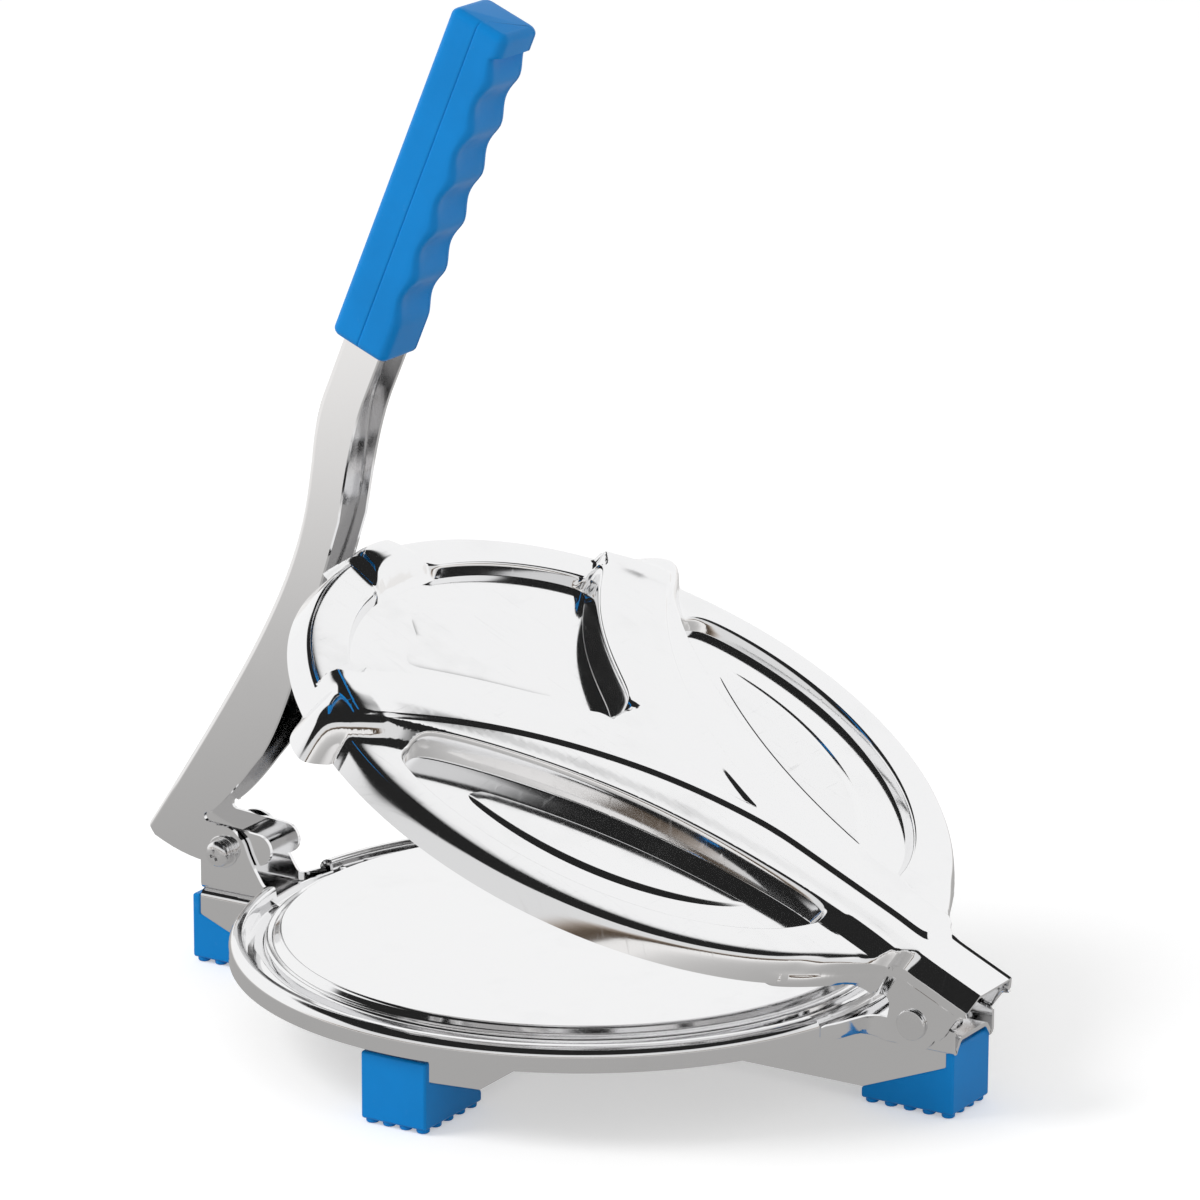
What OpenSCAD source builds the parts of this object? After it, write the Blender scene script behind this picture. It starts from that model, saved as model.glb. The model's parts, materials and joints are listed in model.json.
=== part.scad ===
// Hand press for flat bread: a round base plate on a cross-shaped brace with four feet,
// a ribbed lid hinged at one end and a closing lever at the other.
// The origin is the centre of the lower pressing face, +Z is up, and +X points to the lid hinge.

/* [Pressing faces] */
// Radius of the two flat pressing faces
press_r = 81.5; // [72:0.5:82]
// Gap left between the pressing faces when the lid is shut
press_gap = 0.6; // [0.4:0.1:2]
// Width of the ring from the pressing face to the outer rim
rim_w = 13.5; // [13:0.5:18]
// Thickness of the pressed plates
sheet_t = 1; // [0.8:0.1:1.2]

/* [Base plate] */
// Height of the pressing face above the lower edge of the skirt
skirt_drop = 8; // [7.5:0.1:9]
// Drop from the pressing face to the crest of the rim
crest_drop = 1.3; // [0.8:0.1:2]
// Drop from the pressing face to the narrow step around it
step_drop = 2; // [1.2:0.1:2.6]
// Outer radius of the rounded shoulder between the rim and the skirt
shoulder_r = 3; // [2:0.1:3.4]
// Half the width of the gap in the skirt at the lid hinge
hinge_gap_y = 28; // [26:1:32]
// Half the width of the gap in the skirt at the lever
lever_gap_y = 24; // [20:1:28]

/* [Braces] */
// Thickness of the folded braces, brackets and lever
frame_t = 1.2; // [1:0.1:1.4]
// Width of each brace channel
brace_w = 19; // [18:0.5:19.4]
// Height of each brace channel
brace_h = 17.2; // [15:0.2:19]
// Radius of the folded edges of a brace
brace_r = 2.6; // [2:0.1:3]
// Reach of the long brace beyond the rim, inside its end walls
long_out = 23.2; // [22:0.2:26]
// Distance of the cross brace's ends inside the rim
cross_in = 4.9; // [4.6:0.1:7]

/* [Feet] */
// Width of a foot
foot_w = 20; // [19.6:0.1:20]
// Length of a foot along its brace
foot_l = 27.5; // [26:0.5:30]
// Thickness of the end wall that closes the brace
foot_wall = 2.5; // [2:0.1:3.5]
// Depth of the sole below the brace
foot_sole = 3; // [2.4:0.1:4]
// Height of the end wall above the lower edge of the brace
foot_wall_h = 15.6; // [14:0.1:15.8]
// Height of the slanted seat above the lower edge of the brace at the end wall
seat_rise = 9.9; // [8:0.1:11]
// Height of the nubs under a foot
nub_h = 1.3; // [1:0.1:2]
// Radius of the nubs
nub_r = 1.8; // [1.4:0.1:2]
// Nubs along a foot
nubs_long = 5; // [3:1:5]
// Nubs across a foot
nubs_wide = 4; // [2:1:4]

/* [Lid] */
// Angle that the lid stands open
lid_open = 25; // [20:1:25]
// Height of the lower edge of the lid's skirt above the lower pressing face, lid shut
lid_edge_z = 3.5; // [3:0.1:4.5]
// Height of the lid's rim above its lower edge
lid_rim_h = 6.9; // [6.4:0.1:8]
// Height of the pocket floors above the lid's lower edge
pocket_floor_h = 3.2; // [2.8:0.1:3.6]
// Height of the raised arms above the lid's lower edge
arm_h = 12.4; // [11:0.1:13]
// Height of the nose above the lid's lower edge
nose_h = 11; // [9.5:0.1:11.5]
// Half the width of the nose
nose_y = 9.5; // [8:0.5:11]
// Width of the lid's rim outside the pockets
lid_rim_w = 12.3; // [11.4:0.1:12.6]
// Half the width of the lid's stem at the neck
stem_y = 13; // [12.5:0.1:14]
// Reach of the two lugs beyond the rim at their lower edge
lug_out = 9.5; // [7:0.5:12]
// Width of a lug
lug_w = 17; // [14:0.5:19]
// Width of the beads pressed into the arms
bead_w = 3.6; // [3:0.1:4.4]
// Height of the beads
bead_h = 0.8; // [0.5:0.1:1]

/* [Lid hinge] */
// Distance of the hinge axis beyond the rim
hinge_out = 14.6; // [14:0.1:16]
// Drop of the hinge axis below the pressing face
hinge_drop = 4; // [3.6:0.1:4.4]
// Half the outer width of the hinge bracket
bracket_y = 11.2; // [11.2:0.1:11.8]
// Radius of the rivets' shanks
rivet_r = 2.5; // [2:0.1:3]
// Radius of the rivets' heads
rivet_head_r = 4.2; // [3.8:0.1:4.6]
// Height of the rivets' heads
rivet_head_h = 1.3; // [1:0.1:1.8]
// Radial clearance of pins in their bores
pin_play = 0.05; // [0.03:0.01:0.08]
// Side clearance between pieces that turn on each other
side_play = 0.3; // [0.2:0.05:0.4]
// Reach of the hinge bracket's open end beyond the hinge axis
bracket_out = 11.7; // [11:0.1:13]
// Reach of the lid's neck beyond the hinge axis, lid shut
neck_out = 12; // [11:0.1:13.5]

/* [Lever] */
// Distance of the lever pivot beyond the rim
pivot_out = 15.5; // [15:0.1:16.5]
// Height of the lever's arm, from the pivot to the grip
arm_l = 152.9; // [145:1:170]
// Height of the lever pivot above the pressing face
pivot_z = 4.2; // [3.8:0.1:4.8]
// Outer width of the lever channel
lever_w = 15; // [14:0.2:16]
// Outer radius of the bush that the lever turns on
bush_r = 3.4; // [3:0.1:3.8]
// Radius of the pivot screw
screw_r = 2; // [1.6:0.1:2.2]
// Radius of the screw's head
screw_head_r = 3.75; // [3.4:0.05:4.2]
// Height of the screw's head
screw_head_h = 2.4; // [2:0.1:2.8]
// Thickness of the flat washers
washer_t = 0.8; // [0.6:0.1:1]
// Outer radius of the flat washers
washer_r = 4.6; // [4.3:0.1:5]
// Thickness of the spring washer
spring_washer_t = 1.1; // [0.9:0.1:1.3]
// Height of the nut
nut_h = 3.2; // [2.8:0.1:3.6]
// Radius of the ears of the lever bracket
ear_r = 7.4; // [7:0.1:7.6]

/* [Grip] */
// Length of the grip
grip_l = 101; // [90:1:110]
// Depth of the grip, back to front
grip_d = 18.6; // [18:0.1:21]
// Width of the grip
grip_w = 17.2; // [17:0.1:19]
// Radius of the grip's long edges
grip_r = 1.8; // [1:0.1:2.4]
// Distance from one finger groove to the next
groove_pitch = 15; // [13:0.5:16]
// Depth of the finger grooves
groove_depth = 2.3; // [1.5:0.1:2.6]
// Lean of the grip from the vertical
grip_lean = 22.85; // [20:0.5:26]
// Length of the lever's tang inside the grip
tang_l = 62; // [40:1:70]
// Depth of the tang, back to front
tang_d = 12.4; // [11:0.1:13]
// Thickness of the grip behind the tang
grip_back = 3.6; // [3:0.1:4]

/* [Hidden] */
$fn = 96;

// places along the press
rim_r = press_r + rim_w;
long_reach = rim_r + long_out;
cross_reach = rim_r - cross_in;
hinge_x = rim_r + hinge_out;
bracket_reach = hinge_x + bracket_out;
neck_reach = hinge_x + neck_out;
pivot_x = rim_r + pivot_out;
pocket_r = rim_r - lid_rim_w;
lug_reach = rim_r + lug_out;
// heights of the frame under the plate
skirt_z = -skirt_drop;
brace_z = skirt_z - brace_h;
sole_z = brace_z - foot_sole;
floor_top = skirt_z + frame_t;
trough_z = floor_top + sheet_t;
// radii of the rings between the pressing face and the skirt
edge_r = 1;
step_in_r = press_r + 1.2;
step_out_r = step_in_r + 1.7;
trough_in_r = step_out_r + 1.9;
crest_r = rim_r - shoulder_r;
trough_out_r = crest_r - 2.6;
// lid, shut
lid_rim_z = lid_edge_z + lid_rim_h;
pocket_z = lid_edge_z + pocket_floor_h;
arm_z = lid_edge_z + arm_h;
nose_z = lid_edge_z + nose_h;
neck_z = arm_z - 3;
hinge_z = -hinge_drop;
ear_in_y = bracket_y + side_play;
ear_out_y = ear_in_y + sheet_t;
neck_y = ear_out_y;
neck_round = 3.4;
// the nose passes in front of the lever and its finger as the lid shuts
nose_reach = rim_r + 0.3;
// arcs of the lid's pockets, mirrored in Y
lens_x = rim_r + 5;
lens_r = 1.905 * rim_r;
lens_y = -lens_r - stem_y;
fan_x = 0.42 * rim_r;
fan_r = 1.047 * rim_r;
fan_y = 1.5 - fan_r;
fan_tip_x = -6;
bead_x = rim_r - 10;
bead_arc_r = 1.448 * rim_r;
bead_y = 1.6 - bead_arc_r;
lug_angle = 118;
// pivot stack, from the middle outwards
ear_in = lever_w / 2 + 0.5;
ear_out = ear_in + frame_t;
// the brackets' walls
fold_r = 1.6;
flare_t = frame_t;
// the lever's turning clearance in the grip
grip_fit = 0.05;

// ---- general shapes -------------------------------------------------------------------

// Points of an arc, centre c, radius r, from angle a to angle b.
function arc(c, r, a, b, n = 6) = [for (i = [0 : n]) c + r * [cos(a + (b - a) * i / n), sin(a + (b - a) * i / n)]];

// Points of a cubic curve through p[0] and p[3], drawn towards p[1] and p[2].
function curve(p, n = 8) = [for (i = [0 : n]) let (t = i / n, s = 1 - t)
    s * s * s * p[0] + 3 * s * s * t * p[1] + 3 * s * t * t * p[2] + t * t * t * p[3]];

function unit(v) = v / norm(v);

// Normal of a path at point i, on its left side.
function left_of(path, i) =
    let (a = path[max(i - 1, 0)], b = path[min(i + 1, len(path) - 1)], d = unit(b - a))
    [-d[1], d[0]];

// The path moved sideways by d, to its left.
function beside(path, d) = [for (i = [0 : len(path) - 1]) path[i] + d * left_of(path, i)];

// A band of thickness t on the left side of a path.
module band(path, t) {
    back = beside(path, t);
    polygon(concat(path, [for (i = [len(back) - 1 : -1 : 0]) back[i]]));
}

// A flat shape in X and Z, made w thick and centred on y.
module side_plate(y, w) {
    translate([0, y + w / 2, 0]) rotate([90, 0, 0]) linear_extrude(w) children();
}

// A round bar along Y from y0 to y1.
module bar_y(x, z, r, y0, y1) {
    translate([x, y0, z]) rotate([-90, 0, 0]) cylinder(r = r, h = y1 - y0);
}

// The same shape on both sides of the XZ plane.
module both_sides() {
    children();
    mirror([0, 1, 0]) children();
}

// ---- base plate -----------------------------------------------------------------------

// Upper line of the base plate, from the face's edge to the foot of the skirt.
function base_line() = concat(
    arc([press_r - edge_r, -edge_r], edge_r, 90, 20, 4),
    [[step_in_r, -step_drop], [step_out_r, -step_drop], [trough_in_r, trough_z], [trough_out_r, trough_z]],
    arc([crest_r, -crest_drop - shoulder_r], shoulder_r, 118, 0, 8),
    [[rim_r, skirt_z]]);

module base_plate() {
    line = base_line();
    profile = concat([[0, 0]], line);
    under = beside(profile, -sheet_t);
    color("gainsboro") difference() {
        rotate_extrude($fn = 180) polygon(concat(profile, [[rim_r - sheet_t, skirt_z]],
            [for (i = [len(under) - 2 : -1 : 1]) under[i]], [[0, -sheet_t]]));
        skirt_gap(1, hinge_gap_y);
        skirt_gap(-1, lever_gap_y);
    }
}

// Space cut out of the rim and the skirt for a bracket at the +X or -X end.
module skirt_gap(side, half_y) {
    inner = crest_r - 2.4;
    scale_x = side > 0 ? 0 : 180;
    rotate([0, 0, scale_x]) translate([inner, -half_y, skirt_z - 1])
        cube([rim_r - inner + 1, 2 * half_y, skirt_drop + 1]);
}

// ---- braces ---------------------------------------------------------------------------

// Section of a brace, open at the bottom, with w its width and folded upper edges.
module brace_outline(w, h, r) {
    polygon(concat([[-w / 2, -h], [w / 2, -h]], arc([w / 2 - r, -r], r, 0, 90), arc([-w / 2 + r, -r], r, 90, 180)));
}

module brace_section(h) {
    difference() {
        brace_outline(brace_w, h, brace_r);
        translate([0, -frame_t]) brace_outline(brace_w - 2 * frame_t, h, brace_r - frame_t);
    }
}

// A brace along X with its top at top_z, its two lower ends cut to the feet's slanted seats.
module brace_along_x(reach, top_z) {
    seat_l = foot_l - foot_wall;
    difference() {
        translate([-reach, 0, top_z]) rotate([90, 0, 90]) linear_extrude(2 * reach)
            brace_section(top_z - brace_z);
        for (side = [0, 180]) rotate([0, 0, side]) side_plate(0, brace_w + 2)
            polygon([[reach - seat_l, brace_z], [reach, brace_z + seat_rise], [reach + 1, brace_z + seat_rise],
                     [reach + 1, brace_z - 1], [reach - seat_l, brace_z - 1]]);
    }
}

module long_brace() {
    color("silver") brace_along_x(long_reach, skirt_z);
}

// The cross brace lies on the long one: its web runs on and its walls stop beside it.
module cross_brace() {
    gap = brace_w + 0.1;
    color("silver") difference() {
        rotate([0, 0, 90]) brace_along_x(cross_reach, floor_top);
        translate([-brace_w, -gap / 2, brace_z - 1]) cube([2 * brace_w, gap, brace_h + 1]);
    }
}

// ---- feet -----------------------------------------------------------------------------

// One foot at the end of a brace of the given reach, in X and Z, the brace running to -X.
module foot(reach) {
    end = reach + foot_wall;
    tip = end - foot_l;
    plug_w = brace_w - 2 * frame_t - 0.4;
    plug_top = brace_z + foot_wall_h - 2;
    pitch_x = (foot_l - 2 * nub_r - 1.2) / (nubs_long - 1);
    pitch_y = (foot_w - 2 * nub_r - 0.8) / (nubs_wide - 1);
    tip_rise = 1.7;
    side_plate(0, foot_w) polygon([[tip, sole_z], [end, sole_z], [end, brace_z + foot_wall_h],
        [reach, brace_z + foot_wall_h], [reach, brace_z + seat_rise], [end - foot_l, brace_z],
        [tip, min(brace_z, sole_z + tip_rise)]]);
    side_plate(0, plug_w) polygon([[reach - 14, brace_z], [reach, brace_z], [reach, plug_top], [reach - 8, plug_top]]);
    for (i = [0 : nubs_long - 1], j = [0 : nubs_wide - 1])
        translate([tip + nub_r + 0.6 + i * pitch_x, -foot_w / 2 + nub_r + 0.4 + j * pitch_y, sole_z - nub_h])
            cylinder(r = nub_r, h = nub_h + 0.5, $fn = 24);
}

module foot_hinge() {
    color("dodgerblue") foot(long_reach);
}

module foot_lever() {
    color("dodgerblue") rotate([0, 0, 180]) foot(long_reach);
}

module foot_front() {
    color("dodgerblue") rotate([0, 0, -90]) foot(cross_reach);
}

module foot_back() {
    color("dodgerblue") rotate([0, 0, 90]) foot(cross_reach);
}

// ---- brackets -------------------------------------------------------------------------

// Wall that flares from a bracket's side to the inside of the skirt, on the +Y side.
module flare(x0, y0, gap_y, z0, z1) {
    y1 = gap_y - 1;
    x1 = sqrt(pow(rim_r - sheet_t - 2 * flare_t, 2) - y1 * y1);
    path = curve([[x0 + 1, y0], [x0 - 5, y0], [x1 + 1, y1 - 8], [x1, y1]]);
    translate([0, 0, z0]) linear_extrude(z1 - z0) band(path, -flare_t);
}

// Floor plate under the trough between the two flares, up to x_end.
module bracket_floor(x_end, half_w, gap_y, inner_x) {
    y1 = gap_y - 1;
    x1 = sqrt(pow(rim_r - sheet_t - flare_t, 2) - y1 * y1);
    translate([0, 0, skirt_z]) linear_extrude(frame_t) intersection() {
        circle(r = x_end + 40);
        polygon([[inner_x, -half_w], [x1 - 4, -y1 + 2], [x1, -y1], [x1 + 8, -half_w], [x_end, -half_w],
                 [x_end, half_w], [x1 + 8, half_w], [x1, y1], [x1 - 4, y1 - 2], [inner_x, half_w]]);
    }
}

module hinge_bracket() {
    wall_z0 = skirt_z - 3.3;
    wall_in = bracket_y - frame_t;
    flare_x = hinge_x - 9.6;
    color("silver") difference() {
        union() {
            bracket_floor(bracket_reach, bracket_y, hinge_gap_y, press_r - 6);
            both_sides() {
                side_plate((wall_in + bracket_y) / 2, frame_t)
                    polygon(concat([[flare_x - 1, wall_z0], [bracket_reach, wall_z0], [bracket_reach, hinge_z + 1]],
                        arc([hinge_x, hinge_z], 6.2, 10, 90), [[flare_x - 1, hinge_z - 0.4]]));
                side_plate((wall_in + bracket_y) / 2, frame_t) translate([hinge_x, hinge_z]) circle(r = 6.2);
                flare(flare_x, bracket_y - frame_t, hinge_gap_y, skirt_z, hinge_z + 0.4);
            }
        }
        bar_y(hinge_x, hinge_z, rivet_r, -bracket_y - 1, bracket_y + 1);
    }
}

// Outline of an ear of the lever bracket in X and Z, at the -X end.
module lever_ear() {
    translate([-pivot_x, pivot_z]) circle(r = ear_r);
    polygon([[-pivot_x - ear_r, skirt_z], [-pivot_x - ear_r, pivot_z], [-pivot_x + 5.2, pivot_z + 5.2],
             [-pivot_x + 8.6, pivot_z - 2.6], [-pivot_x + 13.2, skirt_z + 3], [-pivot_x + 13.2, skirt_z]]);
}

module lever_bracket() {
    color("silver") difference() {
        union() {
            rotate([0, 0, 180]) bracket_floor(pivot_x + ear_r, ear_out, lever_gap_y, press_r - 6);
            both_sides() side_plate((ear_in + ear_out) / 2, frame_t) lever_ear();
            both_sides() rotate([0, 0, 180]) mirror([0, 1, 0])
                flare(pivot_x - 12.4, ear_in, lever_gap_y, skirt_z, skirt_z + 4.4);
        }
        bar_y(-pivot_x, pivot_z, screw_r + pin_play, -ear_out - 1, ear_out + 1);
    }
}

// ---- fasteners ------------------------------------------------------------------------

// Rivet through one ear of the lid and one wall of the hinge bracket, head at -Y.
module hinge_rivet() {
    tail_y = bracket_y - frame_t;
    head_y = ear_out_y + 0.1;
    // the tail stays clear of the bracket's floor
    tail_r = hinge_z - floor_top - 0.1;
    rotate([90, 0, 0]) translate([hinge_x, hinge_z, tail_y - 1]) rotate_extrude()
        polygon([[0, 0], [tail_r, 0], [tail_r, 1], [rivet_r, 1],
                 [rivet_r, head_y - tail_y + 1], [rivet_head_r, head_y - tail_y + 1],
                 [rivet_head_r, head_y - tail_y + 0.6 + rivet_head_h],
                 [rivet_head_r - 0.4, head_y - tail_y + 1 + rivet_head_h], [0, head_y - tail_y + 1 + rivet_head_h]]);
}

module hinge_rivet_front() {
    color("lightgray") hinge_rivet();
}

module hinge_rivet_back() {
    color("lightgray") mirror([0, 1, 0]) hinge_rivet();
}

module pivot_bush() {
    color("gray") difference() {
        bar_y(-pivot_x, pivot_z, bush_r, -ear_in, ear_in);
        bar_y(-pivot_x, pivot_z, screw_r + pin_play, -ear_in - 1, ear_in + 1);
    }
}

// A flat washer with its inner face at y, growing to -Y.
module washer(y, t, r) {
    difference() {
        bar_y(-pivot_x, pivot_z, r, y - t, y);
        bar_y(-pivot_x, pivot_z, screw_r + pin_play, y - t - 1, y + 1);
    }
}

module pivot_washer_front() {
    color("lightgray") washer(-ear_out, washer_t, washer_r);
}

module pivot_washer_back() {
    color("lightgray") mirror([0, 1, 0]) washer(-ear_out, washer_t, washer_r);
}

// The spring washer is split, and flattened under the head.
module pivot_spring_washer() {
    y = -ear_out - washer_t;
    color("lightgray") difference() {
        washer(y, spring_washer_t, washer_r - 0.8);
        translate([-pivot_x, y - spring_washer_t - 1, pivot_z + screw_r]) cube([0.8, spring_washer_t + 2, washer_r]);
    }
}

// Pan-head screw with a cross recess, and its end past the nut.
module pivot_screw() {
    seat_y = ear_out + washer_t + spring_washer_t;
    tail = ear_out + washer_t + nut_h + 1;
    slot_w = 1.1;
    slot_l = 4;
    dome_r = 6;
    color("lightgray") translate([-pivot_x, 0, pivot_z]) difference() {
        rotate([90, 0, 0]) rotate_extrude() polygon(concat(
            [[0, -tail], [screw_r - 0.4, -tail], [screw_r, -tail + 0.4], [screw_r, seat_y], [screw_head_r, seat_y]],
            arc([0, seat_y + screw_head_h - dome_r], dome_r, acos(screw_head_r / dome_r), 90)));
        for (turn = [20, 110]) translate([0, -seat_y - screw_head_h, 0]) rotate([0, turn, 0])
            cube([slot_l, 2 * 1.5, slot_w], center = true);
    }
}

module pivot_nut() {
    y0 = ear_out + washer_t;
    color("lightgray") difference() {
        translate([-pivot_x, y0, pivot_z]) rotate([-90, 0, 0]) cylinder(r = 3.5 / cos(30), h = nut_h, $fn = 6);
        bar_y(-pivot_x, pivot_z, screw_r, y0 - 1, y0 + nut_h + 1);
    }
}

// ---- lid ------------------------------------------------------------------------------

// Everything of the lid is drawn shut and turned open about the hinge axis.
module opened() {
    translate([hinge_x, 0, hinge_z]) rotate([0, lid_open, 0]) translate([-hinge_x, 0, -hinge_z]) children();
}

// The pockets seen from above, grown by g all round.
module pockets(g) {
    both_sides() intersection() {
        circle(r = pocket_r + g, $fn = 180);
        translate([lens_x, lens_y]) circle(r = lens_r + g, $fn = 360);
        square(2 * (rim_r - 17 + g), center = true);
    }
    difference() {
        intersection() {
            circle(r = pocket_r + g, $fn = 180);
            translate([-rim_r, -rim_r]) square([rim_r + fan_tip_x + g, 2 * rim_r]);
        }
        both_sides() translate([fan_x, fan_y]) circle(r = fan_r - g, $fn = 180);
    }
}

// The raised Y of the lid seen from above, drawn in by d.
module arms(d) {
    difference() {
        circle(r = rim_r - d, $fn = 180);
        both_sides() translate([lens_x, lens_y]) circle(r = lens_r + d, $fn = 360);
        difference() {
            translate([-2 * rim_r, -rim_r]) square([2 * rim_r + fan_tip_x + d, 2 * rim_r]);
            both_sides() translate([fan_x, fan_y]) circle(r = fan_r - d, $fn = 180);
        }
    }
}

// Section of the lid's rim, with its shoulder, drawn in by d and reaching down to z0.
module rim_column(d, z0) {
    rotate_extrude($fn = 180) polygon(concat([[0, z0], [rim_r - d, z0]],
        arc([rim_r - shoulder_r, lid_rim_z - shoulder_r], shoulder_r - d, 0, 90), [[0, lid_rim_z - d]]));
}

// A ramp from r0 out and down to the lid's lower edge, at the angle a.
module ramp(a, w, top_z, r0, top_r, foot_r, d, z0) {
    slope = (foot_r - top_r) / (top_z - lid_edge_z);
    rotate([0, 0, a]) side_plate(0, w - 2 * d) polygon([[r0, z0],
        [foot_r - d + slope * (lid_edge_z - z0), z0], [top_r - d, top_z - d], [r0, top_z - d]]);
}

// Neck over the hinge, drawn in by d: a box with bevelled upper edges.
module neck(d, z0) {
    half = neck_y - d;
    x0 = pocket_r - 3;
    translate([x0, 0, 0]) rotate([90, 0, 90]) linear_extrude(neck_reach - x0 + (d > 0 ? 1 : 0))
        polygon(concat([[-half, z0], [half, z0]],
            arc([half - neck_round + d, neck_z - neck_round], neck_round - d, 0, 90),
            arc([-half + neck_round - d, neck_z - neck_round], neck_round - d, 90, 180)));
}

// Outer form of the lid without its sheet thickness, drawn in by d, reaching down to z0.
module lid_form(d, z0) {
    difference() {
        union() {
            rim_column(d, z0);
            translate([0, 0, z0]) linear_extrude(arm_z - d - z0) intersection() {
                arms(d);
                circle(r = crest_r + 1, $fn = 180);
            }
            neck(d, z0);
            ramp(180, 2 * nose_y, nose_z, crest_r - 8, nose_reach - 0.8, nose_reach, d, z0);
            // the lugs are hollow outside the rim's wall only
            for (side = [-1, 1]) ramp(side * lug_angle, lug_w, arm_z - 0.6, d > 0 ? rim_r + 0.4 : crest_r - 8,
                rim_r + 1.5, lug_reach, d, z0);
        }
        translate([0, 0, pocket_z - d]) linear_extrude(arm_h + 10) pockets(d);
    }
}

// The beads that run along both arms and meet on the stem.
module beads() {
    translate([0, 0, arm_z - 0.2]) linear_extrude(bead_h + 0.2) both_sides() intersection() {
        difference() {
            translate([bead_x, bead_y]) circle(r = bead_arc_r, $fn = 360);
            translate([bead_x, bead_y]) circle(r = bead_arc_r - bead_w, $fn = 360);
        }
        arms(3);
        circle(r = crest_r - 2, $fn = 180);
        translate([-rim_r, -rim_r]) square([rim_r + neck_reach - 42, 2 * rim_r]);
    }
}

// An ear of the lid in X and Z, hanging from the neck to the hinge axis.
module lid_ear() {
    left = hinge_x - 7.4;
    right = neck_reach - 2.8;
    union() {
        translate([hinge_x, hinge_z]) circle(r = 7.4);
        translate([right - 5, hinge_z + 0.4]) circle(r = 5);
        polygon([[left, hinge_z], [right, hinge_z + 0.4], [neck_reach - 2, lid_edge_z + 0.5], [left - 4, lid_edge_z + 0.5]]);
    }
}

module lid_shell() {
    color("whitesmoke") opened() difference() {
        union() {
            difference() {
                lid_form(0, lid_edge_z);
                lid_form(sheet_t, lid_edge_z - 1);
            }
            beads();
            both_sides() side_plate((ear_in_y + ear_out_y) / 2, sheet_t) lid_ear();
        }
        bar_y(hinge_x, hinge_z, rivet_r + pin_play, -ear_out_y - 1, ear_out_y + 1);
    }
}

// Shallow pan under the pockets that carries the upper pressing face.
module lid_press_plate() {
    top = pocket_z - sheet_t;
    color("gainsboro") opened() rotate_extrude($fn = 180) polygon(concat(
        [[0, press_gap]], arc([press_r - 1.4, press_gap + 1.4], 1.4, -90, 0, 4),
        [[press_r, top], [press_r - sheet_t, top]],
        arc([press_r - 1.4, press_gap + 1.4], 0.4, 0, -90, 4), [[0, press_gap + sheet_t]]));
}

// ---- lever ----------------------------------------------------------------------------

// Places on the lever, as it stands, from the pivot, for an arm 152.9 high.
function at_lever(x, z) = [x * arm_l / 152.9 - pivot_x, z * arm_l / 152.9 + pivot_z];

// Direction along the grip, as an angle from +X, and its lower back corner.
grip_angle = 90 - grip_lean;
grip_foot = at_lever(36.4, 152.9);

// Places in the grip's own frame: x along it, y towards its back.
function at_grip(x, y) = grip_foot + x * [cos(grip_angle), sin(grip_angle)] + y * [-sin(grip_angle), cos(grip_angle)];

// Back edge of the lever from the heel up to the end of its tang.
function lever_back() = concat(
    [at_lever(-26.7, 3.3)],
    curve([at_lever(-19.5, 14.2), at_lever(11.2, 61), at_lever(24, 84), at_lever(27.6, 108)], 12),
    curve([at_lever(29.4, 122), at_lever(30.2, 128.5), at_lever(31.2, 131), at_lever(34.2, 138.2)], 4),
    [at_grip(-2, -grip_back), at_grip(tang_l, -grip_back)]);

// Front edge of the lever from the end of its tang down to the ankle.
function lever_front() = concat(
    [at_grip(tang_l, -grip_back - tang_d), at_grip(-2, -grip_back - tang_d)],
    curve([at_lever(45.8, 134.1), at_lever(42, 124.6), at_lever(40, 113.5), at_lever(37.6, 99.5)], 6),
    curve([at_lever(33.9, 88), at_lever(27.5, 68), at_lever(19.8, 41), at_lever(11.5, 29)], 10),
    curve([at_lever(7.8, 24.5), at_lever(2, 17), at_lever(-2.5, 12.4), at_lever(-7.3, 9.4)], 4));

// Side of the lever: boot, arm, tang and the round-ended finger at the pivot.
module lever_side() {
    finger_r = 4.4;
    polygon(concat(lever_back(), lever_front(),
        [at_lever(-7.5, 7.9), at_lever(-5.6, 6.2)],
        arc(at_lever(9.4, 1.6), finger_r, 88, -70, 8),
        [at_lever(5, -3.9)],
        curve([at_lever(1, -5.3), at_lever(-8, -5.4), at_lever(-15, -4.4), at_lever(-24.1, 0)], 6)));
}

// Space between the lever's two sides, in front of the web along its back.
module lever_hollow() {
    polygon(concat([at_lever(-26.7, 3.3)], beside(lever_back(), -frame_t),
        [at_grip(tang_l + 1, -grip_back - frame_t), at_grip(tang_l + 1, -40), at_lever(70, -20), at_lever(-26.7, -20)]));
}

// The grip's own outline, from its lower back corner along its length.
module grip_side() {
    groove_r = (pow(groove_pitch / 2, 2) + pow(groove_depth, 2)) / (2 * groove_depth);
    first = grip_l - 14 - 4.5 * groove_pitch;
    difference() {
        translate([0, -grip_d]) square([grip_l, grip_d]);
        for (i = [0 : 4])
            translate([first + i * groove_pitch - 0.5 * groove_pitch + 7.5, -grip_d - groove_r + groove_depth])
                circle(r = groove_r);
    }
}

module lever_channel() {
    color("lightgray") difference() {
        side_plate(0, lever_w) lever_side();
        side_plate(0, lever_w - 2 * frame_t) lever_hollow();
        bar_y(-pivot_x, pivot_z, bush_r + pin_play, -lever_w, lever_w);
    }
}

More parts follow.
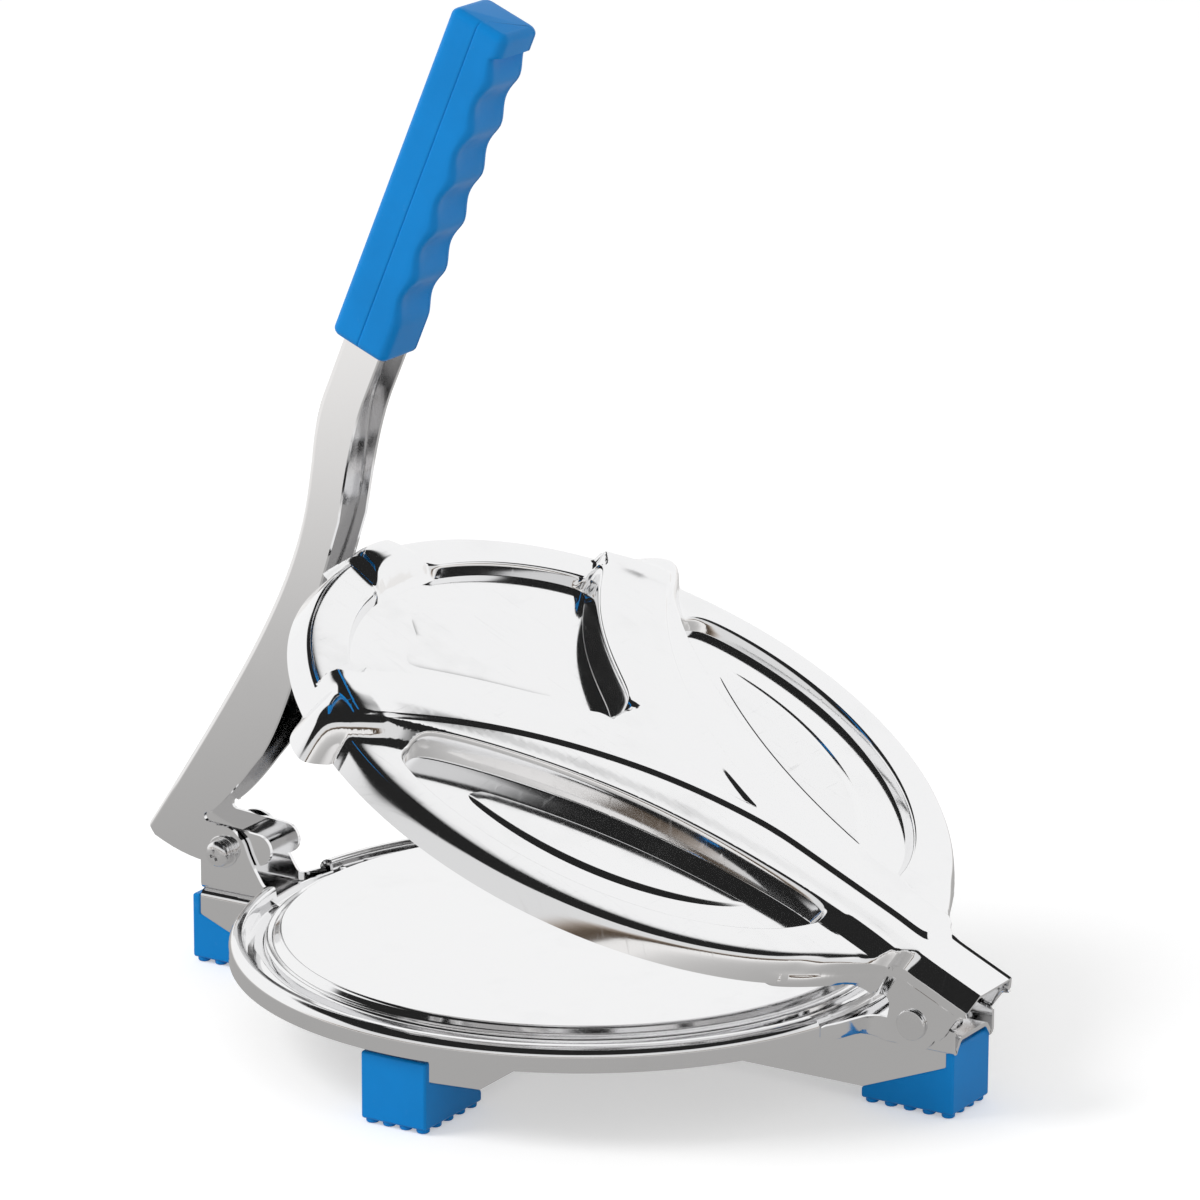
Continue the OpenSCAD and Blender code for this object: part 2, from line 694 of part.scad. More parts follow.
module lever_grip() {
    color("dodgerblue") difference() {
        intersection() {
            side_plate(0, grip_w) translate(grip_foot) rotate(grip_angle) grip_side();
            translate([grip_foot[0], 0, grip_foot[1]]) rotate([0, grip_lean, 0]) translate([grip_d / 2, 0, 0])
                linear_extrude(grip_l) rounded_rectangle(grip_d, grip_w, grip_r);
        }
        side_plate(0, lever_w + 2 * grip_fit) polygon([at_grip(-1, grip_fit - grip_back),
            at_grip(tang_l + grip_fit, grip_fit - grip_back), at_grip(tang_l + grip_fit, -grip_back - tang_d - grip_fit),
            at_grip(-1, -grip_back - tang_d - grip_fit)]);
    }
}

module rounded_rectangle(l, w, r) {
    polygon(concat(arc([l / 2 - r, w / 2 - r], r, 0, 90), arc([-l / 2 + r, w / 2 - r], r, 90, 180),
        arc([-l / 2 + r, -w / 2 + r], r, 180, 270), arc([l / 2 - r, -w / 2 + r], r, 270, 360)));
}

base_plate();
long_brace();
cross_brace();
hinge_bracket();
lever_bracket();
foot_hinge();
foot_lever();
foot_front();
foot_back();
hinge_rivet_front();
hinge_rivet_back();
pivot_bush();
pivot_screw();
pivot_spring_washer();
pivot_washer_front();
pivot_washer_back();
pivot_nut();
lid_shell();
lid_press_plate();
lever_channel();
lever_grip();
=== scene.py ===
import json
import math
from types import SimpleNamespace

import bmesh
import bpy
import numpy as np
from bpy.props import FloatProperty, FloatVectorProperty, IntProperty, PointerProperty
from bpy.types import Operator, Panel, PropertyGroup
from mathutils import Matrix, Vector
from mathutils.geometry import delaunay_2d_cdt

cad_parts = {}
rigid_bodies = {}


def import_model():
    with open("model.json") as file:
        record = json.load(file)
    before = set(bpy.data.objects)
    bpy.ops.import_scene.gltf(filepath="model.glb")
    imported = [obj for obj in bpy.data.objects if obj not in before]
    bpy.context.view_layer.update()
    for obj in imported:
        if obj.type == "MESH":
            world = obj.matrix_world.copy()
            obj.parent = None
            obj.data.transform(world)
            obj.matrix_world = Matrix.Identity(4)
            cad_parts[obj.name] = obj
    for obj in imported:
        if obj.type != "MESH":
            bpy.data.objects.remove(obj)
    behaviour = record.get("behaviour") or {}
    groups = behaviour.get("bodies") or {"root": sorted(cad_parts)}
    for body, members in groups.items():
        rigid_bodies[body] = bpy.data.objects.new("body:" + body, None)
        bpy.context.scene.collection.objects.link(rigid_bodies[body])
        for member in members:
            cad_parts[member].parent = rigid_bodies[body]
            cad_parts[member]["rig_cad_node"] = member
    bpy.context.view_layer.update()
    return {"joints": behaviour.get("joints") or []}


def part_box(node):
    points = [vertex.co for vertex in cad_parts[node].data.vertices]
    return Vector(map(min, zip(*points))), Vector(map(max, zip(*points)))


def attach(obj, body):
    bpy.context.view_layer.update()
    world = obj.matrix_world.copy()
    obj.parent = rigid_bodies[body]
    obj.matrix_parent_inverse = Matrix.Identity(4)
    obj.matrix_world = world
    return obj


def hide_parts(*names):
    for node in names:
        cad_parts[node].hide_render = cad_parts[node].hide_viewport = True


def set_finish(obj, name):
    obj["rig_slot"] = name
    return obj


bl_info = {
    "name": "Tortilla press",
    "version": (1, 0, 0),
    "blender": (4, 5, 0),
    "location": "3D View > Sidebar > Press",
    "description": "Dresses the packed frame of a hinged steel tortilla press",
    "category": "Add Mesh",
}

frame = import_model()

# Pieces are shaped in millimetres, and made metres when they are finished.
MM = 0.001


# ---- sizes ----


def length(label, description, value):
    """A length property, given in millimetres and kept in metres."""
    return FloatProperty(name=label, description=description, default=value * MM, unit="LENGTH", precision=5)


def angle(label, description, degrees):
    """An angle property, given in degrees and kept in radians."""
    return FloatProperty(name=label, description=description, default=math.radians(degrees), subtype="ANGLE")


def number(label, description, value):
    """A property that is a plain number."""
    return FloatProperty(name=label, description=description, default=value, min=0)


def colour(label, description, value):
    """A colour property."""
    return FloatVectorProperty(name=label, description=description, default=value, subtype="COLOR",
                               min=0, max=1)


def joint_place(name):
    """Where the joint of that name is, in millimetres."""
    return [joint["pos_m"] for joint in frame["joints"] if joint["name"] == name][0]


HINGE = Vector(joint_place("lid_hinge")) / MM
PIVOT = Vector(joint_place("lever_pivot")) / MM


class PlateSizes(PropertyGroup):
    """Sizes of the round base plate."""

    press_r: length("Face radius", "Radius of the flat pressing face", 81.5)
    rim_r: length("Rim radius", "Outer radius of the skirt", 95)
    sheet: length("Plate sheet", "Thickness of the round plates' sheet", 1)
    skirt_z: length("Skirt edge", "Height of the skirt's lower edge", -8)
    trough_z: length("Trough", "Height of the trough between face and rim", -5.8)
    crest_z: length("Crest", "Height of the rim's crest", -1.3)
    shoulder_r: length("Shoulder", "Rounding between crest and skirt", 3)
    hinge_gap: length("Hinge gap", "Half the width of the gap in the rim at the hinge", 28)
    lever_gap: length("Lever gap", "Half the width of the gap in the rim at the lever", 14)
    steps: IntProperty(name="Steps", description="Steps of a full turn", default=288, min=96)


class LidSizes(PropertyGroup):
    """Sizes of the pressed lid, shut, from its lower edge."""

    edge_z: length("Lower edge", "Height of the shut lid's lower edge", 3.5)
    edge_r: length("Edge radius", "Radius of the lid's lower edge", 95.5)
    sheet: length("Sheet", "Thickness of the lid's sheet", 1)
    rim_h: length("Rim", "Height of the flat rim", 6.9)
    floor_h: length("Pocket floors", "Height of the pocket floors", 3.2)
    pocket_r: length("Pocket radius", "Radius of the pockets' outer edges", 82.7)
    wall_w: length("Wall draft", "Width of a pocket's sloping wall", 1.9)
    arm_h: length("Arms", "Height of the raised arms beside their beads", 11.4)
    stem_h: length("Stem", "Height of the raised stem", 10.3)
    band_fall: length("Band fall", "Fall of an arm from its bead to its pocket's edge", 0.2)
    bead_h: length("Bead", "Height of the beads on the arms", 0.9)
    leaf_h: length("Leaf", "Height of the raised leaf in a pocket", 1.0)
    nose_h: length("Nose", "Height of the nose", 11)
    nose_w: length("Nose width", "Half the width of the nose at its foot", 13)
    nose_reach: length("Nose reach", "Reach of the nose beside the lever", 99.4)
    lug_reach: length("Lug reach", "Reach of the two lugs", 105.6)
    neck_w: length("Neck width", "Half the width over the neck's ears", 12.6)
    neck_reach: length("Neck reach", "Reach of the neck past the hinge", 121.6)
    ear_r: length("Ear", "Radius of the ears about the hinge rivets", 7.4)
    face_gap: length("Pan height", "Height of the upper pressing face, shut", 0.6)


class LeverSizes(PropertyGroup):
    """Sizes of the lever and of its grip."""

    width: length("Width", "Width over the lever's sides", 15)
    sheet: length("Sheet", "Thickness of the lever's sheet", 1.2)
    fold_r: length("Fold", "Outer radius of the folded back edges", 1.7)
    grip_l: length("Grip length", "Length of the grip", 101)
    grip_d: length("Grip depth", "Depth of the grip, back to front", 18.4)
    grip_w: length("Grip width", "Width of the grip", 17.6)
    grip_back: length("Grip back", "Grip behind the lever's back edge", 3.6)
    corner_r: length("Corner", "Rounding of the grip's long edges", 2.4)
    groove: length("Groove depth", "Depth of the finger grooves", 2.4)
    pitch: length("Groove pitch", "Distance between finger grooves", 15)
    lean: angle("Lean", "Lean of the grip from upright", 22.85)


class FootSizes(PropertyGroup):
    """Sizes of the four plastic feet."""

    width: length("Width", "Width of a foot", 20)
    run: length("Length", "Length of a foot", 27.5)
    wall: length("End wall", "Thickness of the wall over the brace's end", 2.5)
    wall_h: length("Wall height", "Height of the end wall over the brace's lower edge", 15.6)
    seat_rise: length("Seat rise", "Rise of the slanted seat", 9.9)
    sole: length("Sole", "Thickness of the sole", 3)
    nub_r: length("Nub radius", "Radius of the nubs", 1.8)
    nub_h: length("Nub height", "Height of the nubs", 1.3)
    nubs_long: IntProperty(name="Nubs long", description="Nubs along a foot", default=5)
    nubs_wide: IntProperty(name="Nubs wide", description="Nubs across a foot", default=4)


class BraceSizes(PropertyGroup):
    """Sizes of the braces under the plate."""

    brace_w: length("Brace width", "Width over a brace", 19)
    brace_sheet: length("Brace sheet", "Thickness of the braces' sheet", 1.2)
    brace_fold: length("Brace fold", "Outer radius of a brace's folds", 2.6)
    slant_rise: length("Slant rise", "Height at which a brace's end starts to slant", 9.9)
    slant_run: length("Slant run", "Length over which a brace's end slants", 23.6)
    bracket_y: length("Hinge bracket", "Half the width over the hinge bracket", 11.2)
    bracket_low: length("Bracket corner", "Height of the hinge bracket's low corners", -11.3)
    flare_y: length("Bracket flare", "Half the width of the hinge bracket inside the rim", 27.5)
    plate_z: length("Bracket floors", "Height of both brackets' floors", -8)
    hinge_ear_r: length("Hinge ears", "Radius of the hinge bracket's ears", 6.2)
    lever_ear_r: length("Lever ear radius", "Radius of the lever bracket's ears", 7.4)
    ear_face: length("Lever ears", "Half the width over the lever bracket's ears", 9.2)


class FastenerSizes(PropertyGroup):
    """Sizes of the rivets, the screw, the nut and their washers."""

    wall_in: length("Wall inside", "Inner face of the hinge bracket's walls, from the middle", 10)
    ear_out: length("Lid ears", "Outer face of the lid's ears, from the middle", 12.6)
    tail_r: length("Rivet tail", "Radius of a rivet's tail", 2.6)
    shank_r: length("Shank", "Radius of the rivets' and the screw's shanks", 2)
    rivet_r: length("Rivet head", "Radius of a rivet's head", 4.2)
    rivet_h: length("Rivet head height", "Height of a rivet's head", 1.4)
    bush_r: length("Bush", "Radius of the lever's bush", 3.4)
    ear_face: length("Lever ears", "Outer face of the lever bracket's ears, from the middle", 9.2)
    washer_r: length("Washer", "Radius of the flat washers", 4.6)
    washer_t: length("Washer thickness", "Thickness of the flat washers", 0.8)
    spring_r: length("Spring washer", "Radius of the spring washer", 3.8)
    spring_t: length("Spring washer thickness", "Thickness of the spring washer", 1.1)
    head_r: length("Screw head", "Radius of the screw's head", 3.75)
    head_h: length("Screw head height", "Height of the screw's head", 2.4)
    nut_af: length("Nut", "Width of the nut across its flats", 7)
    nut_h: length("Nut height", "Height of the nut", 3.2)


class FinishColours(PropertyGroup):
    """Colours and gloss of the two materials."""

    steel: colour("Steel", "Colour of the polished steel", (0.88, 0.88, 0.885))
    plastic: colour("Plastic", "Colour of the moulded plastic", (0.0, 0.26, 0.72))
    steel_rough: number("Steel roughness", "Roughness of polished steel", 0.07)
    plastic_rough: number("Plastic roughness", "Roughness of moulded plastic", 0.34)


class StageSizes(PropertyGroup):
    """Camera, lamp and floor."""

    azimuth: angle("Azimuth", "Camera's turn about the press from -Y", 31.44)
    elevation: angle("Elevation", "Camera's height angle", 16.09)
    roll: angle("Roll", "Camera's roll", 0.18)
    distance: length("Distance", "Camera's distance from its aim", 1799)
    aim: FloatVectorProperty(name="Aim", description="Point the camera looks at", subtype="TRANSLATION",
                             unit="LENGTH", size=3, default=(0.00445, 0.00267, 0.09147))
    lens: number("Lens", "Focal length on a 36 mm film", 202.3)
    floor_z: length("Floor", "Height of the floor", -29.5)
    key_power: number("Key", "Power of the soft key lamp", 22)
    fill: number("Fill", "Strength of the soft light from all round", 0.62)


def in_mm(group):
    """The group's lengths in millimetres, and its other values as they are."""
    values = {}
    for name in group.__annotations__:
        rna = group.bl_rna.properties[name]
        value = getattr(group, name)
        is_length = getattr(rna, "unit", "NONE") == "LENGTH" and rna.array_length == 0
        values[name] = value / MM if is_length else value
    return SimpleNamespace(**values)


# ---- plane geometry ----


def arc(cx, cy, r, start, end, n=6):
    """Points on an arc, angles in degrees."""
    angles = [math.radians(start + (end - start) * i / n) for i in range(n + 1)]
    return [(cx + r * math.cos(a), cy + r * math.sin(a)) for a in angles]


def curve(p, n=8):
    """Points on a cubic curve from p[0] to p[3], drawn towards p[1] and p[2]."""
    points = []
    for i in range(n + 1):
        t = i / n
        s = 1 - t
        k = (s * s * s, 3 * s * s * t, 3 * s * t * t, t * t * t)
        points.append(tuple(sum(k[j] * p[j][axis] for j in range(4)) for axis in range(2)))
    return points


def rise(t, foot, top):
    """0 to 1 over t from 0 to 1: a straight slope rounded over foot at 0 and over top at 1."""
    t = np.clip(t, 0, 1)
    slope = 1 / (1 - foot / 2 - top / 2)
    return np.where(t < foot, t * t * slope / (2 * foot),
                    np.where(t > 1 - top, 1 - (1 - t) ** 2 * slope / (2 * top), (t - foot / 2) * slope))


def ease(t, soft=0.3):
    """0 to 1 over t from 0 to 1: a straight slope rounded over soft at both ends."""
    return rise(t, soft, soft)


def soft_min(a, b, k):
    """The lower of a and b, rounded over k where they meet."""
    return 0.5 * (a + b - np.sqrt((a - b) ** 2 + k * k))


def soft_max(a, b, k):
    """The higher of a and b, rounded over k where they meet."""
    return -soft_min(-a, -b, k)


# ---- work at the bench ----


def deselect():
    """Leaves object mode with nothing selected."""
    if bpy.context.object and bpy.context.object.mode != "OBJECT":
        bpy.ops.object.mode_set(mode="OBJECT")
    bpy.ops.object.select_all(action="DESELECT")


def hold(piece):
    """Makes the piece the only one selected, and the active one."""
    deselect()
    piece.select_set(True)
    bpy.context.view_layer.objects.active = piece


def named(name):
    """The piece just added, with its name."""
    piece = bpy.context.object
    piece.name = name
    piece.data.name = name
    return piece


def pick(piece, kind, test):
    """Selects, in edit mode, the faces, edges or points of the piece that the test holds for."""
    hold(piece)
    bpy.ops.object.mode_set(mode="EDIT")
    bpy.ops.mesh.select_mode(type=kind)
    bpy.ops.mesh.select_all(action="DESELECT")
    bpy.ops.object.mode_set(mode="OBJECT")
    mesh = piece.data
    for part in {"FACE": mesh.polygons, "EDGE": mesh.edges, "VERT": mesh.vertices}[kind]:
        part.select = bool(test(part))
    bpy.ops.object.mode_set(mode="EDIT")


def places(piece, part):
    """Where the corners of a face or the ends of an edge are."""
    return [piece.data.vertices[i].co for i in part.vertices]


def all_of(piece):
    """Selects the whole piece in edit mode."""
    hold(piece)
    bpy.ops.object.mode_set(mode="EDIT")
    bpy.ops.mesh.select_all(action="SELECT")


def lay(piece, points):
    """Puts the piece's points at the given places, in their order."""
    piece.data.vertices.foreach_set("co", np.array(points, float).ravel())
    piece.data.update()


def add_ring(name, points, filled=False):
    """A ring of points, laid out from a circle of as many."""
    deselect()
    fill = "NGON" if filled else "NOTHING"
    bpy.ops.mesh.primitive_circle_add(vertices=len(points), radius=1, fill_type=fill)
    piece = named(name)
    lay(piece, points)
    return piece


def clean(piece, gap=0.002):
    """Closes seams and poles, and turns all faces outwards."""
    all_of(piece)
    bpy.ops.mesh.remove_doubles(threshold=gap)
    bpy.ops.mesh.normals_make_consistent(inside=False)
    deselect()


def modify(piece, kind, **settings):
    """Adds a modifier and applies it."""
    hold(piece)
    modifier = piece.modifiers.new(kind.title(), kind)
    for name, value in settings.items():
        setattr(modifier, name, value)
    bpy.ops.object.modifier_apply(modifier=modifier.name)


def soften(piece, width, segments=3, angle=30):
    """Rounds all edges sharper than the angle."""
    modify(piece, "BEVEL", width=width, segments=segments, limit_method="ANGLE",
           angle_limit=math.radians(angle), harden_normals=False)


def smooth(piece, angle=35):
    """Shades the piece smooth, with normals that follow its broad faces."""
    hold(piece)
    bpy.ops.object.shade_smooth_by_angle(angle=math.radians(angle))
    modify(piece, "WEIGHTED_NORMAL", keep_sharp=True, weight=80)


def turned(name, line, steps, axis=(0, 0, 1)):
    """A piece spun from a line of points about an axis through the origin."""
    piece = add_ring(name, line)
    pick(piece, "EDGE", lambda edge: set(edge.vertices) == {0, len(line) - 1})
    bpy.ops.mesh.delete(type="EDGE")
    all_of(piece)
    bpy.ops.mesh.spin(steps=steps, angle=2 * math.pi, center=(0, 0, 0), axis=axis)
    clean(piece)
    return piece


def slab(name, outline, depth):
    """An outline in X and Z made depth thick, centred on Y."""
    piece = add_ring(name, [(x, -depth / 2, z) for x, z in outline], filled=True)
    all_of(piece)
    bpy.ops.mesh.extrude_region_move(TRANSFORM_OT_translate={"value": (0, depth, 0)})
    clean(piece)
    return piece


def skin(name, lines):
    """An open skin over lines of as many points each, laid out from a grid."""
    deselect()
    bpy.ops.mesh.primitive_grid_add(x_subdivisions=len(lines[0]) - 1, y_subdivisions=len(lines) - 1, size=2)
    piece = named(name)
    lay(piece, [point for line in lines for point in line])
    return piece


def move(piece, place):
    """Moves the piece's mesh."""
    piece.data.transform(Matrix.Translation(place))


def turn(piece, degrees, axis):
    """Turns the piece's mesh about an axis through the origin."""
    piece.data.transform(Matrix.Rotation(math.radians(degrees), 4, axis))


def twin(piece, name, place):
    """A copy of the piece with its own mesh, moved to the place."""
    copy = piece.copy()
    copy.data = piece.data.copy()
    copy.name = name
    copy.data.name = name
    bpy.context.scene.collection.objects.link(copy)
    move(copy, place)
    return copy


def finish_piece(piece, body, slot, node=None):
    """Makes the piece metres, and gives it its node to replace, its slot and its body.

    The node is the one that the piece is named after, unless another is given."""
    deselect()
    piece.data.transform(Matrix.Scale(MM, 4))
    piece.data.update()
    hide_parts(node or piece.name.lower())
    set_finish(piece, slot)
    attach(piece, body)


# How far the lid stands open at rest, and the turn that takes the shut lid there.
LID_OPEN = 25
OPEN_TURN = (Matrix.Translation(HINGE) @ Matrix.Rotation(math.radians(LID_OPEN), 4, "Y")
             @ Matrix.Translation(-HINGE))


# ---- base ----


def plate_line(s):
    """The upper line of the base plate, from its middle to the skirt's edge."""
    edge = s.press_r
    ring = edge + 1.2
    crest = s.rim_r - s.shoulder_r
    line = [(0, 0), (edge - 6, 0), (edge - 1.4, 0)]
    line += arc(edge - 1, -1, 1, 85, 15, 5)
    line += arc(ring + 0.6, -1.1, 0.9, 205, 270, 4) + arc(ring + 1.6, -3, 1, 90, 15, 4)
    line += curve([(edge + 4, s.trough_z + 1.7), (edge + 4.5, s.trough_z + 0.4), (edge + 6, s.trough_z),
                   (edge + 7, s.trough_z)], 6)
    line += curve([(edge + 8.3, s.trough_z), (edge + 9.4, s.trough_z + 0.6), (edge + 8.9, s.crest_z - 0.3),
                   (crest - 0.6, s.crest_z)], 8)
    line += arc(crest, s.crest_z - s.shoulder_r, s.shoulder_r, 84, 4, 9)
    line += [(s.rim_r, s.crest_z - s.shoulder_r - 0.5), (s.rim_r, s.skirt_z)]
    return line


def cut_away(piece, half, inside):
    """Cuts the piece along Y at half to both sides, and takes off the faces whose middle is inside."""
    for y in (half, -half):
        all_of(piece)
        bpy.ops.mesh.bisect(plane_co=(0, y, 0), plane_no=(0, 1, 0))
    pick(piece, "FACE", lambda face: inside(face.center))
    bpy.ops.mesh.delete(type="FACE")
    deselect()


class PRESS_OT_base_plate(Operator):
    """Round base plate with its trough, rim and skirt"""

    bl_idname = "press.base_plate"
    bl_label = "Base plate"

    def execute(self, context):
        s = in_mm(context.scene.press_plate)
        plate = turned("Base_plate", [(r, 0, z) for r, z in plate_line(s)], s.steps)
        inner = s.press_r + 9
        for gap, way in ((s.hinge_gap, 1), (s.lever_gap, -1)):
            cut_away(plate, gap, lambda c: c.x * way > 0 and abs(c.y) < gap and c.xy.length > inner)
        clean(plate)
        modify(plate, "SOLIDIFY", thickness=s.sheet, offset=-1, use_even_offset=True)
        smooth(plate)
        finish_piece(plate, "base", "steel_sheet")
        return {"FINISHED"}


class PRESS_OT_feet(Operator):
    """Four plastic feet with slanted seats and nubbed soles"""

    bl_idname = "press.feet"
    bl_label = "Feet"

    def foot(self, s, reach, brace_z):
        """The foot at the end of a brace that runs to -X."""
        end = reach + s.wall
        tip = end - s.run
        sole_z = brace_z - s.sole
        top = brace_z + s.wall_h
        outline = [(tip, sole_z), (end, sole_z), (end, top), (reach, top), (reach, brace_z + s.seat_rise),
                   (tip, brace_z)]
        piece = slab("Foot", outline, s.width)
        soften(piece, 0.7, 3)
        gap_x = (s.run - 2 * s.nub_r - 1.2) / (s.nubs_long - 1)
        gap_y = (s.width - 2 * s.nub_r - 0.8) / (s.nubs_wide - 1)
        line = [(0, -s.nub_h), (s.nub_r * 0.6, -s.nub_h)]
        line += arc(s.nub_r - 0.6, -s.nub_h + 0.6, 0.6, -60, 0, 3) + [(s.nub_r, 0.4), (0, 0.4)]
        nub = turned("Nub", [(r, 0, z) for r, z in line], 20)
        nubs = []
        for i in range(s.nubs_long):
            for j in range(s.nubs_wide):
                place = (tip + s.nub_r + 0.6 + i * gap_x, -s.width / 2 + s.nub_r + 0.4 + j * gap_y, sole_z)
                nubs.append(twin(nub, "Nub_copy", place))
        bpy.data.objects.remove(nub)
        deselect()
        for copy in nubs:
            copy.select_set(True)
        piece.select_set(True)
        bpy.context.view_layer.objects.active = piece
        bpy.ops.object.join()
        smooth(piece)
        return piece

    def execute(self, context):
        s = in_mm(context.scene.press_foot)
        low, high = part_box("long_brace")
        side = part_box("cross_brace")[1]
        brace_z = low.z / MM
        ends = [("hinge", high.x / MM, 0), ("back", side.y / MM, 90), ("lever", high.x / MM, 180),
                ("front", side.y / MM, -90)]
        for name, reach, degrees in ends:
            piece = self.foot(s, reach, brace_z)
            piece.name = "Foot_" + name
            piece.data.name = piece.name
            turn(piece, degrees, "Z")
            finish_piece(piece, "base", "blue_plastic")
        return {"FINISHED"}


# ---- lid ----


class Die:
    """The form that the lid is pressed in: its heights over the lower edge, and its outlines.

    Places are u along the lid towards the hinge and v across it. Pocket and outline measures are
    distances that are negative inside."""

    # Arcs that bound the pockets beside the stem, the pocket between the arms, the beads and the web.
    lens_c, lens_r = (91.3, 188.7), 173.8
    fan_c, fan_r = (40, 98), 98.7
    bead_c, bead_r = (85.3, 136.2), 138.4
    web_r = 143.5
    # Where the pockets end along the lid: beside the neck, beside the lugs, and at the tip between the arms.
    neck_end, lug_end, tip_u = 79.5, -29.5, -4.5
    # Half the gap between the beads on the stem, and where they end.
    stem_bead, bead_end = 2.1, 100
    # The pocket between the arms: its edge inside the others', its bulge behind the nose, and its walls.
    fan_inset, nose_bulge, fan_wall_w, nose_wall_w = 1.3, 5.2, 1.9, 8.5
    # The raised leaf: its outer radius, its distance inside the pocket, and the widths of its two slopes.
    leaf_r, leaf_in, leaf_step, leaf_slope = 70.5, 11, 1.2, 4.6
    # Lugs and nose: where their outlines start, and how far they sink at their roots.
    root_r, root_drop = 84, 9
    lug_angle, lug_w, lug_top, lug_slope = 118.5, 8.4, 11.8, 3.2
    nose_slope, nose_taper, nose_stretch, nose_dip, lever_w = 2.9, 0.24, 1.03, 3.4, 7.7
    # The skirt leans in by 1 in skirt_lean up to the bevel, and stands neck_wall in at the neck.
    skirt_lean, skirt_round, bevel_slope, neck_wall = 2.41, 0.7, 1.42, 0.4
    # Where the neck parts from the rim, where it has its full form, and where its ears hang down.
    neck_u, neck_full, ear_u = 84, 94, (102.3, 117)
    # Depth of the panel on the neck, and of the web between the beads.
    panel_dip, web_dip = 0.45, 0.6

    def __init__(self, sizes):
        self.s = sizes

    def off_arc(self, u, v, centre, radius):
        """Distance outside the arc about a centre and the one about its mirror place."""
        return np.hypot(u - centre[0], np.abs(v) - centre[1]) - radius

    def lens(self, u, v):
        """Outline of the pockets beside the stem."""
        w = np.abs(v)
        inner = self.off_arc(u, v, self.lens_c, self.lens_r)
        outer = np.hypot(u, v) - self.s.pocket_r
        neck_side = (u - self.neck_end) * 0.98 + (w - 20) * 0.1
        lug_side = (self.lug_end - u) * 0.98 + (w - 72) * 0.2
        return soft_max(soft_max(inner, outer, 2), soft_max(neck_side, lug_side, 1), 4)

    def fan(self, u, v):
        """Outline of the pocket between the arms, with its bulge behind the nose."""
        sides = -self.off_arc(u, v, self.fan_c, self.fan_r)
        outer = np.hypot(u, v) - (self.s.pocket_r - self.fan_inset) - self.nose_bulge * self.behind_nose(v)
        return soft_max(soft_max(sides, outer, 4), u - self.tip_u, 8)

    def behind_nose(self, v):
        """How far a place is behind the nose, from 0 to 1."""
        return 1 - ease((np.abs(v) - 8) / 9)

    def lens_wall(self, u, v):
        """Place across the wall of the pockets beside the stem: 0 at its top, -1 at its foot."""
        return self.lens(u, v) / self.s.wall_w

    def fan_wall(self, u, v):
        """Place across the wall of the pocket between the arms, which is wide behind the nose."""
        wider = (self.nose_wall_w - self.fan_wall_w) * self.behind_nose(v) * ease((-u - 55) / 15)
        return self.fan(u, v) / (self.fan_wall_w + wider)

    def knee(self, u):
        """Where the skirt turns into the bevel: distance inside the outline, and height."""
        height = self.s.rim_h - self.skirt_round
        height = height - 0.9 * ease((u - self.neck_u) / 10) - ease((u - self.neck_full) / 9)
        distance = height / self.skirt_lean
        return distance - (distance - self.neck_wall) * ease((u - self.neck_u) / 12), height

    def skirt(self, u, v):
        """Place across the skirt: 0 at the outline, -1 where it turns into the bevel."""
        return self.outline_body(u, v) / self.knee(u)[0]

    def leaf(self, u, v):
        """Inner and outer outline of the raised leaf in a pocket beside the stem."""
        return self.off_arc(u, v, self.lens_c, self.lens_r - self.leaf_in), np.hypot(u, v) - self.leaf_r

    def bead_side(self, u, v):
        """Distance outside the beads, towards the pockets beside the stem."""
        arm = -self.off_arc(u, v, self.bead_c, self.bead_r)
        return soft_max(soft_min(arm, np.abs(v) - self.stem_bead, 2), u - self.bead_end, 2.5)

    def web_side(self, u, v):
        """Distance outside the web between the beads."""
        return -self.off_arc(u, v, self.bead_c, self.web_r)

    def arm_side(self, u, v):
        """Distance outside the arms' edge towards the nose, which runs straight out at the rim."""
        inwards = np.minimum(1, 82 / np.maximum(np.hypot(u, v), 1))
        return -self.off_arc(u * inwards, v * inwards, self.fan_c, self.fan_r)

    def lug(self, u, v):
        """Distance along a lug from the middle, and across its middle line towards the hinge."""
        a = math.radians(self.lug_angle)
        w = np.abs(v)
        return u * math.cos(a) + w * math.sin(a), u * math.sin(a) - w * math.cos(a)

    def lug_edge(self, u, v):
        """Distance inside a lug's rounded outline, whose side towards the nose slants."""
        along, across = self.lug(u, v)
        slant = (across + 18.2 - 0.93 * (along - 89)) / 1.366
        slant = soft_min(slant, self.arm_side(u, v) + 2.2, 1.5)
        return soft_min(soft_min(self.s.lug_reach - along, self.lug_w - across, 3), slant, 4)

    def nose_edge(self, u, v):
        """Distance inside the nose's outline, which narrows to its tip and leaves room for the lever."""
        w = np.abs(v)
        side = (self.s.nose_w + 1.4 - self.nose_taper * (-u - 87) - w) / self.nose_stretch
        tip = self.s.nose_reach - self.nose_dip * (1 - ease((w - self.lever_w) / 3.6)) + u
        return soft_min(1.6 * tip, side, 3)

    def outline(self, u, v):
        """Outline of the whole lid, with its lugs, nose and neck."""
        body = np.maximum(self.outline_body(u, v), u - self.s.neck_reach)
        lug = np.maximum(-self.lug_edge(u, v), self.root_r - self.lug(u, v)[0])
        nose = np.maximum(-self.nose_edge(u, v), self.root_r + u)
        return np.minimum(body, np.minimum(lug, nose))

